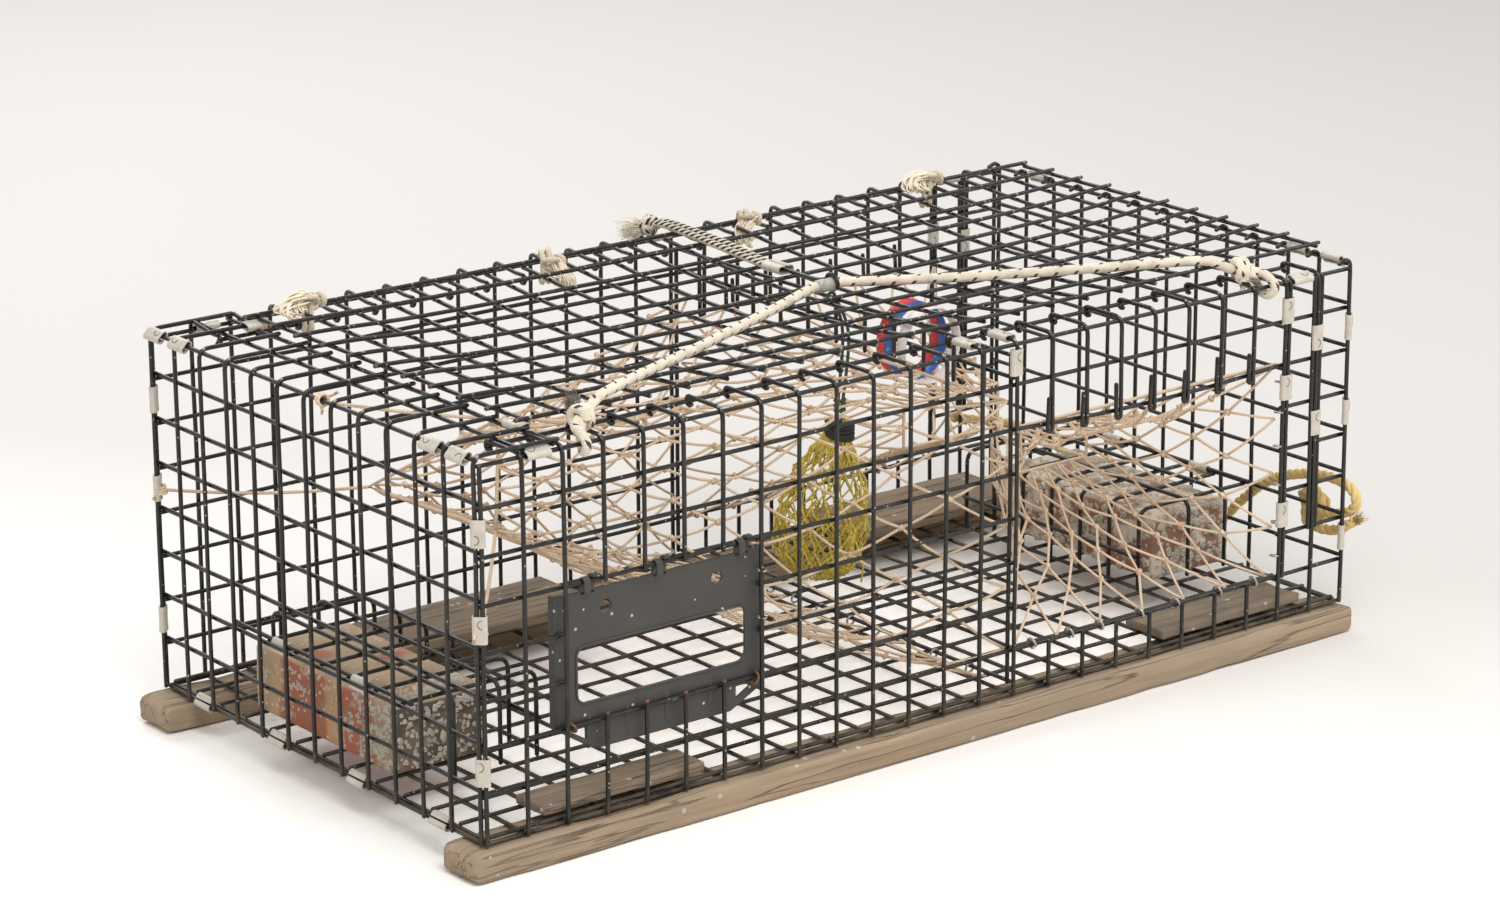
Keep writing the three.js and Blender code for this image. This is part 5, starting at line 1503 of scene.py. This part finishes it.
# Bait bag: knotted net gathered at the neck, folded and leaning to the front at its top
bag = {
    "x": partitionRowX + wireEdge + 0.0285, "y": gy(7.5), "bottom": gz(0.4), "high": 0.152, "wide": 0.053,
    "deep": 0.0275, "lean": 0.040, "twine": 0.0009, "loose": 0.0032, "slack": 0.0012, "fold": 0.10,
    "profile": [(0.0, 0.25), (0.06, 0.72), (0.16, 0.95), (0.36, 1.0), (0.6, 0.84), (0.8, 0.52), (0.9, 0.28),
                (1.0, 0.2)],
    "layers": ((21, 13, 1.0, 0.03, 0.93), (15, 6, 0.85, 0.0, 0.42), (12, 3, 0.7, 0.74, 0.93)), "strands": 26,
    "end": ((-0.004, -0.040, 0.06), (0.004, -0.047, 0.03), (0.010, -0.038, 0.008)),
}
bagRng = random.Random(61)


def bagReach(up):
    for (a, low), (b, high) in zip(bag["profile"], bag["profile"][1:]):
        if up <= b:
            t = (up - a) / (b - a)
            return low + (high - low) * t * t * (3 - 2 * t)
    return bag["profile"][-1][1]


def bagSpot(turn, up, squeeze, loose):
    reach = bagReach(up) * squeeze
    fold = 1 + bag["fold"] * sin(5 * turn + 9 * up) * (1 - 0.5 * up)
    side = bag["wide"] * reach * sin(turn) + bag["lean"] * (0.5 - up)
    point = Vector((bag["x"] + bag["deep"] * reach * cos(turn) * fold, bag["y"] + side * (2 - fold),
                    bag["bottom"] + bag["high"] * up))
    return point + scatter(bagRng) * loose


def bagLayer(columns, rows, squeeze, fromUp, toUp):
    knots = {}
    for row in range(rows + 1):
        share = row / rows
        loose = bag["loose"] * sin(pi * min(1, share * 1.1))
        for column in range(columns):
            turn = 2 * pi * (column + 0.5 * (row % 2)) / columns
            knots[row, column] = bagSpot(turn, fromUp + (toUp - fromUp) * share, squeeze, loose)
    parts = [tubeParts([start, start.lerp(end, 0.5) + scatter(bagRng) * bag["slack"], end], bag["twine"], 4)
             for start, end in netTwines(knots, rows, columns)]
    return parts + netKnots(knots, rows, bag["twine"] * 1.9, bagRng)


parts = []
for layer in bag["layers"]:
    parts += bagLayer(*layer)
for turn in angles(bag["strands"], bag["strands"]):
    line = [bagSpot(turn, up, 1.0, 0.0008) for up in (0.8, 0.86, 0.92, 0.96, 1.0)]
    parts.append(tubeParts(line, bag["twine"] * 1.2, 4))
bagFoot = Vector((bag["x"], bag["y"], bag["bottom"]))
parts.append(tubeParts(smoothLine([bagFoot + Vector(step) for step in bag["end"]], 6), bag["twine"], 5))
partsPiece("bait_bag_net", parts, "baitNet", "bag", ["bait_bag"])

# Dark wraps and a green cord at the neck of the bag: the cord loops round the top wire of the partition
neck = Vector((bag["x"], bag["y"] - bag["lean"] / 2, bag["bottom"] + bag["high"]))
hang = Vector((partitionRowX, gy(6.3), partitionTop))
bagCord = {
    "wraps": 5, "wrap": 0.0019, "wrapDeep": 0.0095, "wrapWide": 0.0140, "wrapPitch": 0.0028, "radius": 0.0015,
    "hangReach": (wireEdge + 0.0015) * 1.1, "knotDeep": 0.0035, "knotWide": 0.0055, "knotPitch": 0.0045,
    "knot": 0.0014,
}
wraps = [[neck + Vector((bagCord["wrapDeep"] * cos(angle), bagCord["wrapWide"] * sin(angle),
                         bagCord["wrapPitch"] * turn - 0.012 + 0.0012 * sin(angle + turn)))
          for angle in angles(20, 20)] for turn in range(bagCord["wraps"])]
partsPiece("bag_neck_wraps", [tubeParts(ring, bagCord["wrap"], 7, closed=True) for ring in wraps], "darkCord",
           "bag")
reach = bagCord["hangReach"]
loop = [hang + Vector((reach * cos(angle), 0, reach * sin(angle))) for angle in angles(16, 16)]
parts = [tubeParts(loop, bagCord["radius"], 7, closed=True)]
for way in (-1, 1):
    line = [hang + Vector((reach, way * 0.0015, 0)),
            Vector((bag["x"] - 0.004, (hang.y + neck.y) / 2 + way * 0.004, (hang.z + neck.z) / 2 + 0.02)),
            neck + Vector((0, way * 0.003, 0.012)), neck + Vector((0, way * 0.0015, -0.001))]
    parts.append(tubeParts(smoothLine(line, 8), bagCord["radius"], 7))
knot = [neck + Vector((bagCord["knotDeep"] * cos(angle), bagCord["knotWide"] * sin(angle),
                       0.008 + bagCord["knotPitch"] * step / 11)) for step, angle in enumerate(angles(34, 11))]
parts.append(tubeParts(knot, bagCord["knot"], 6))
partsPiece("bait_cord_green", parts, "greenCord", "bag", ["bait_cord"])
tuft = tuftParts(bagFoot + Vector((0, 0.03, 0.001)), (0, 0.3, -1), 0.008, 0.003, 60, 0.9, bagRng)
partsPiece("bag_green_tuft", tuft, "brightGreen", "bag")
print("bait bag made")

# Latch: bent wire hook over the bungee, ferrule and doubled rope that is knotted at the rear edge
latch = {
    "column": 13.45, "ropeRow": 7.75, "ferruleRow": 7.1, "hookRadius": 0.0018, "hookReach": 0.00795 * 1.05,
    "hookTurns": (20, 50, 80, 110, 140, 170, 200), "ferruleLength": 0.024, "ferruleLong": 0.0056,
    "ferruleShort": 0.0029,
    "rope": 0.0032, "ropeRest": doorTopZ + 0.00275, "knotRope": 0.0034, "knotWide": 0.0078, "knotDeep": 0.0050,
    "knotTall": 0.0062, "bendFrom": 10.4, "bendTo": 11.5,
    "frays": (
        {"off": (-0.006, 0.002, 0.0), "way": (-1, 0.25, -0.15), "length": 0.022, "radius": 0.0040, "count": 170,
         "spread": 0.45},
        {"off": (-0.004, 0.003, 0.002), "way": (-0.7, 0.7, 0.3), "length": 0.010, "radius": 0.003, "count": 60,
         "spread": 0.7},
    ),
}
hookX, ferruleFrom, ropeRest = gx(latch["column"]), gy(latch["ferruleRow"]), latch["ropeRest"]
ropeZ = ropeRest - lidDrop(hookX, gy(latch["ropeRow"]))
hookLine = [Vector((hookX, y, ropeZ)) for y in (ferruleFrom + 0.0117, ferruleFrom - 0.0018, apex.y + 0.022)]
hookLine += [Vector((hookX, apex.y + latch["hookReach"] * cos(turn), apex.z + latch["hookReach"] * sin(turn)))
             for turn in (radians(angle) for angle in latch["hookTurns"])]
partsPiece("latch_hook_wire", [tubeParts(smoothLine(hookLine, 4), latch["hookRadius"], 10)], "wire", "lid",
           ["latch_hook"])
ferrule = [crimpParts((hookX, ferruleFrom + 0.012, ropeZ), along, across, plain=True, length=latch["ferruleLength"],
                      halfLong=latch["ferruleLong"], halfShort=latch["ferruleShort"])]
trimmed(partsPiece("latch_ferrule_sleeve", ferrule, "aluminium", "lid", ["latch_ferrule"]), 50)
knotSpot = Vector((gx(13.1), gy(11.75), flangeZ + wireEdge + 0.0095))
legs = []
for name, way, nodes in (("left", -1, ["latch_rope"]), ("right", 1, [])):
    legLine = smoothLine([
        (hookX + way * 0.0030, ferruleFrom + 0.0245, ropeZ), (hookX + way * 0.0034, ferruleFrom + 0.034, ropeZ),
        (gx(13.35) + way * 0.0050, gy(9.4), (ropeZ + ropeRest) / 2 + 0.001),
        (gx(13.2) + way * 0.0038, gy(11.2), ropeRest + 0.001),
        knotSpot + Vector((way * 0.0034, -0.007, 0.001)),
    ], 10)
    leg = partsPiece(f"latch_rope_{name}", [tubeParts(legLine, latch["rope"], 12)], "braid", None, nodes)
    legs.append((leg, legLine))
wide, deep, tall = latch["knotWide"], latch["knotDeep"], latch["knotTall"]
rings = [[knotSpot + Vector((wide * cos(angle) + 0.0012 * turn, deep * sin(angle + turn),
                             tall * sin(angle) * (1 if turn % 2 else -1) + 0.001))
          for angle in angles(25, 18)] for turn in range(3)]
partsPiece("latch_rope_knot", [tubeParts(ring, latch["knotRope"], 10) for ring in rings], "braid", "frame")
for leg, legLine in legs:
    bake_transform(leg)
rng = random.Random(15)
parts = []
for fray in latch["frays"]:
    parts += tuftParts(knotSpot + Vector(fray["off"]), fray["way"], fray["length"], fray["radius"], fray["count"],
                       fray["spread"], rng)
partsPiece("latch_rope_frays", parts, "frayed", "frame")

# Rope hinges at the rear edge of the lid: two loops round lid and rail, a knot and a frayed hank
ties = (
    {"column": 3.25, "way": (-1.0, -0.34, -0.06), "hank": 0.040, "tall": 0.0088, "knot": (0.004, 0.0, 0.0034)},
    {"column": 9.62, "way": (0.25, -0.72, -0.75), "hank": 0.032, "tall": 0.008, "knot": (0.003, -0.004, -0.004)},
    {"column": 15.3, "way": (-0.5, -0.5, -0.65), "hank": 0.026, "tall": 0.008, "knot": (0.004, 0.0, -0.001)},
    {"column": 20.85, "way": (-1.0, -0.22, -0.06), "hank": 0.036, "tall": 0.0078, "knot": (0.004, 0.0, 0.0034)},
)
tieRope = {
    "loops": (0.0058, 0.0062), "loop": 0.0027, "lead": 0.013, "knot": 0.0026,
    "bends": ((0.0, 0.2), (0.0085, 1.4), (-0.006, 2.6)),
    "strands": 40, "strand": 0.00085, "rng": random.Random(33),
}


def tieLoops(x, y):
    parts = []
    for turn, reach in enumerate(tieRope["loops"]):
        loop = []
        for angle in range(0, 361, 20):
            lean, out = 0.007 * (turn - 0.5) + 0.003 * cos(radians(angle)), reach * cos(radians(angle))
            rise = (doorPivotZ if angle <= 180 else railZ) + reach * sin(radians(angle))
            loop.append(Vector((x + lean, y + out, rise)))
        parts += laidRope(loop, tieRope["loop"], tieRope["lead"], sides=6)
    return parts


def tieKnot(knotAt):
    parts = []
    for bend, (spread, tilt) in enumerate(tieRope["bends"]):
        heart = knotAt + Vector((spread, -0.003 * bend, 0.0012 * bend))
        ring = [heart + Vector((0.0058 * cos(angle) * cos(tilt), 0.0052 * sin(angle + tilt),
                                0.0046 * sin(angle) + 0.0012 * cos(2 * angle))) for angle in angles(21, 14)]
        parts += laidRope(ring, tieRope["knot"], tieRope["lead"], sides=6)
    return parts


def tieHank(knotAt, tie):
    way = Vector(tie["way"]).normalized()
    up = (Vector((0, 0, 1)) - way * way.z).normalized()
    side = way.cross(up)
    draw = tieRope["rng"].uniform
    strands = []
    for strand in range(tieRope["strands"]):
        reach, tall = tie["hank"] * draw(0.22, 0.5), tie["tall"] * draw(0.45, 1.0)
        heart = knotAt + way * (reach + draw(-0.002, 0.003)) + side * draw(-0.006, 0.006) + up * draw(-0.002, 0.002)
        swing, opened = draw(-0.3, 0.3), draw(0.9, 1.75)
        line = [heart + way * reach * cos(angle) + up * tall * sin(angle + swing)
                + side * 0.003 * sin(2 * angle + swing * 5)
                for angle in (pi * (1.0 - opened * step / 12) for step in range(13))]
        strands.append(tubeParts(smoothLine(line, 2), tieRope["strand"], 4))
    return strands


for at, tie in enumerate(ties):
    x, y, name = gx(tie["column"]), gy(11), f"hinge_tie_{at + 1}"
    knotAt = Vector((x, y - 0.001, doorPivotZ)) + Vector(tie["knot"])
    partsPiece(name + "_rope", tieLoops(x, y) + tieKnot(knotAt), "cotton", "frame", [name])
    partsPiece(name + "_hank", tieHank(knotAt, tie), "frayed", "frame")
print("latch and hinges made")

# Tag bands: flat plastic loops round a wire of the partition
bands = {
    "reach": 0.031, "drop": 0.033, "wide": 0.011, "thick": 0.0013, "steps": 40,
    "columns": {"red": (4.46, 0.2), "white": (3.75, -0.1), "blue": (4.2, 0.12)},
}


def bandParts(column, lean):
    reach, drop = bands["reach"], bands["drop"]
    center = Vector((partitionRowX + reach - 0.0044, gy(column), partition["secondRow"] - drop / 5))
    verts, faces = [], []
    for angle in angles(bands["steps"], bands["steps"]):
        normal = Vector((cos(angle) / reach, 0, sin(angle) / drop)).normalized()
        tilt = Vector((0, 1, lean * cos(angle))).normalized()
        middle = center + Vector((reach * cos(angle), 0, drop * sin(angle)))
        verts += [middle + tilt * side * bands["wide"] / 2 + normal * (out - 1) * bands["thick"] / 2
                  for side, out in ((-1, -1), (1, -1), (1, 1), (-1, 1))]
    for low in range(0, len(verts), 4):
        high = (low + 4) % len(verts)
        faces += [(low + side, low + (side + 1) % 4, high + (side + 1) % 4, high + side) for side in range(4)]
    return verts, faces


for color, (column, lean) in bands["columns"].items():
    name = f"tag_band_{color}"
    band = trimmed(meshPiece(name + "_strip", *bandParts(column, lean)), 50, 0.0003, 1)
    place(band, color, "frame", [name])
print("bands made")

# Knots of the bungee on the front rail, each with a loop round the rail and a frayed end
bungeeEnds = {
    "left": {"side": -1, "slope": (0.9, 0.35, 0.0), "tail": (-0.15, 0.25, 1.0)},
    "right": {"side": 1, "slope": (-0.95, 0.2, 0.0), "tail": (0.55, -0.55, -0.35)},
    "thick": bungee["radius"] * 0.92, "coil": 0.0078, "rng": random.Random(44),
    "loop": ((0.0, 0.011, 0.0105), (0.002, 0.001, 0.0078), (0.002, -0.0070, 0.0), (0.0, 0.0, -0.0072),
             (-0.003, 0.0078, -0.001), (-0.007, 0.013, 0.0085)),
}
for name, knotAt in bungeeKnots.items():
    end, thick, rng = bungeeEnds[name], bungeeEnds["thick"], bungeeEnds["rng"]
    side, along, way = end["side"], Vector(end["slope"]).normalized(), Vector(end["tail"]).normalized()
    rail = Vector((knotAt.x + side * 0.014, railFront, railZ))
    loop = [knotAt + Vector((0, 0.002, 0.001))]
    loop += [rail + Vector((side * x, y, z)) for x, y, z in bungeeEnds["loop"]]
    loop.append(knotAt + Vector((side * 0.002, -0.006, 0.001)))
    upright = Vector((0, 0, 1))
    across = along.cross(upright).normalized()
    coil = [knotAt + along * (0.010 * step / 30 - 0.006)
            + (across * cos(angle) + upright * sin(angle)) * bungeeEnds["coil"]
            for step, angle in enumerate(angles(30, 18))]
    coil += [coil[-1] + way * 0.004, coil[-1] + way * 0.009]
    parts = [tubeParts(smoothLine(loop, 8), thick, 14), tubeParts(smoothLine(coil, 2), thick, 14)]
    partsPiece(f"bungee_knot_{name}", parts, "bungee", "frame")
    frays = tuftParts(coil[-1], way, 0.014, 0.0034, 170, 0.55, rng, 0.0003)
    partsPiece(f"bungee_frays_{name}", frays, "bristle", "frame")
    wisps = tuftParts(coil[-1] - way * 0.004, way + along * 0.4, 0.012, 0.0042, 50, 0.9, rng, 0.0005)
    partsPiece(f"bungee_wisps_{name}", wisps, "frayed", "frame")
print("bungee ends made")

# Rust on the cut ends of wires
parts = []
for run in rustyTips:
    before, end = run[-2][0], run[-1][0]
    parts.append(tubeParts([before.lerp(end, -1.2), before, end], 0.0, 8, radii=[0.00195, 0.00198, 0.0013]))
partsPiece("wire_end_rust", parts, "rust", "frame")

# Floor, lamps and sky. The camera sees the floor fade into a backdrop, and painted light under the trap that lifts
# the shadow of the wires
studio = {
    "floorSize": 30.0, "floorTone": (0.82, 0.79, 0.75), "seenNear": (1.12, 1.10, 1.08),
    "seenUnderLit": (1.52, 1.49, 1.46), "under": ((0.36, 0.47), (0.15, 0.25)),
    "away": (0.907, 0.550, 0.0), "awaySpan": (-0.45, 0.45), "across": (0.775, -0.632, 0.0),
    "acrossSpan": (-0.8, 0.9),
    "farLeft": (0.745, 0.722, 0.706), "farRight": (0.665, 0.648, 0.630),
    "skyColor": (0.93, 0.915, 0.89), "skyStrength": 0.72,
    "lamps": {
        "key_lamp": {"place": (-0.9, -2.0, 3.3), "aim": (0, 0, 0.1), "size": (1.9, 1.9), "power": 74,
                     "color": (1.0, 0.985, 0.96)},
        "fill_lamp": {"place": (2.8, -1.2, 2.2), "aim": (0, 0, 0.15), "size": (2.0, 2.0), "power": 26,
                      "color": (1, 1, 1)},
        "back_lamp": {"place": (0.6, 2.8, 2.6), "aim": (0, 0, 0.2), "size": (2.4, 1.6), "power": 40,
                      "color": (1, 1, 1)},
    },
}


def addFloor():
    bpy.ops.mesh.primitive_plane_add(size=studio["floorSize"], location=(0, 0, 0))
    floor = bpy.context.active_object
    floor.name = "studio_floor"
    material, tree = newFinish("studioFloor", 0.9)
    where = ownPlace(tree)
    away, across = (
        span(tree, put(tree, "VectorMath", {0: where, 1: studio[key]}, operation="DOT_PRODUCT")["Value"],
             *studio[key + "Span"]) for key in ("away", "across"))
    seen = mixed(tree, away, studio["seenNear"], mixed(tree, across, studio["farLeft"], studio["farRight"]))
    # Painted light: in a box under the trap the floor that the camera sees is brighter, against the shadow of the
    # wires
    under = [span(tree, calc(tree, "ABSOLUTE", value), low, high, 1.0, 0.0)
             for value, (low, high) in zip(split(tree, where), studio["under"])]
    seen = mixed(tree, times(tree, *under), seen, studio["seenUnderLit"])
    looked = put(tree, "LightPath", {})["Is Camera Ray"]
    feed(tree, tree.nodes["Principled BSDF"], {"Base Color": mixed(tree, looked, studio["floorTone"], seen)})
    floor.data.materials.append(material)
    choose()


def addSky():
    world = bpy.data.worlds.new("studioSky")
    bpy.context.scene.world = world
    world.use_nodes = True
    feed(world.node_tree, world.node_tree.nodes["Background"],
         {"Color": studio["skyColor"], "Strength": studio["skyStrength"]})


def addLamp(name, lamp):
    bpy.ops.object.light_add(type="AREA", location=lamp["place"])
    made = bpy.context.active_object
    made.name = name
    made.data.shape = "RECTANGLE"
    made.data.size, made.data.size_y = lamp["size"]
    made.data.energy, made.data.color = lamp["power"], lamp["color"]
    made.rotation_euler = (Vector(lamp["aim"]) - Vector(lamp["place"])).to_track_quat("-Z", "Y").to_euler()
    made.select_set(False)


addFloor()
addSky()
for name, lamp in studio["lamps"].items():
    addLamp(name, lamp)
bpy.context.scene.view_settings.view_transform = "Standard"
print("studio made")
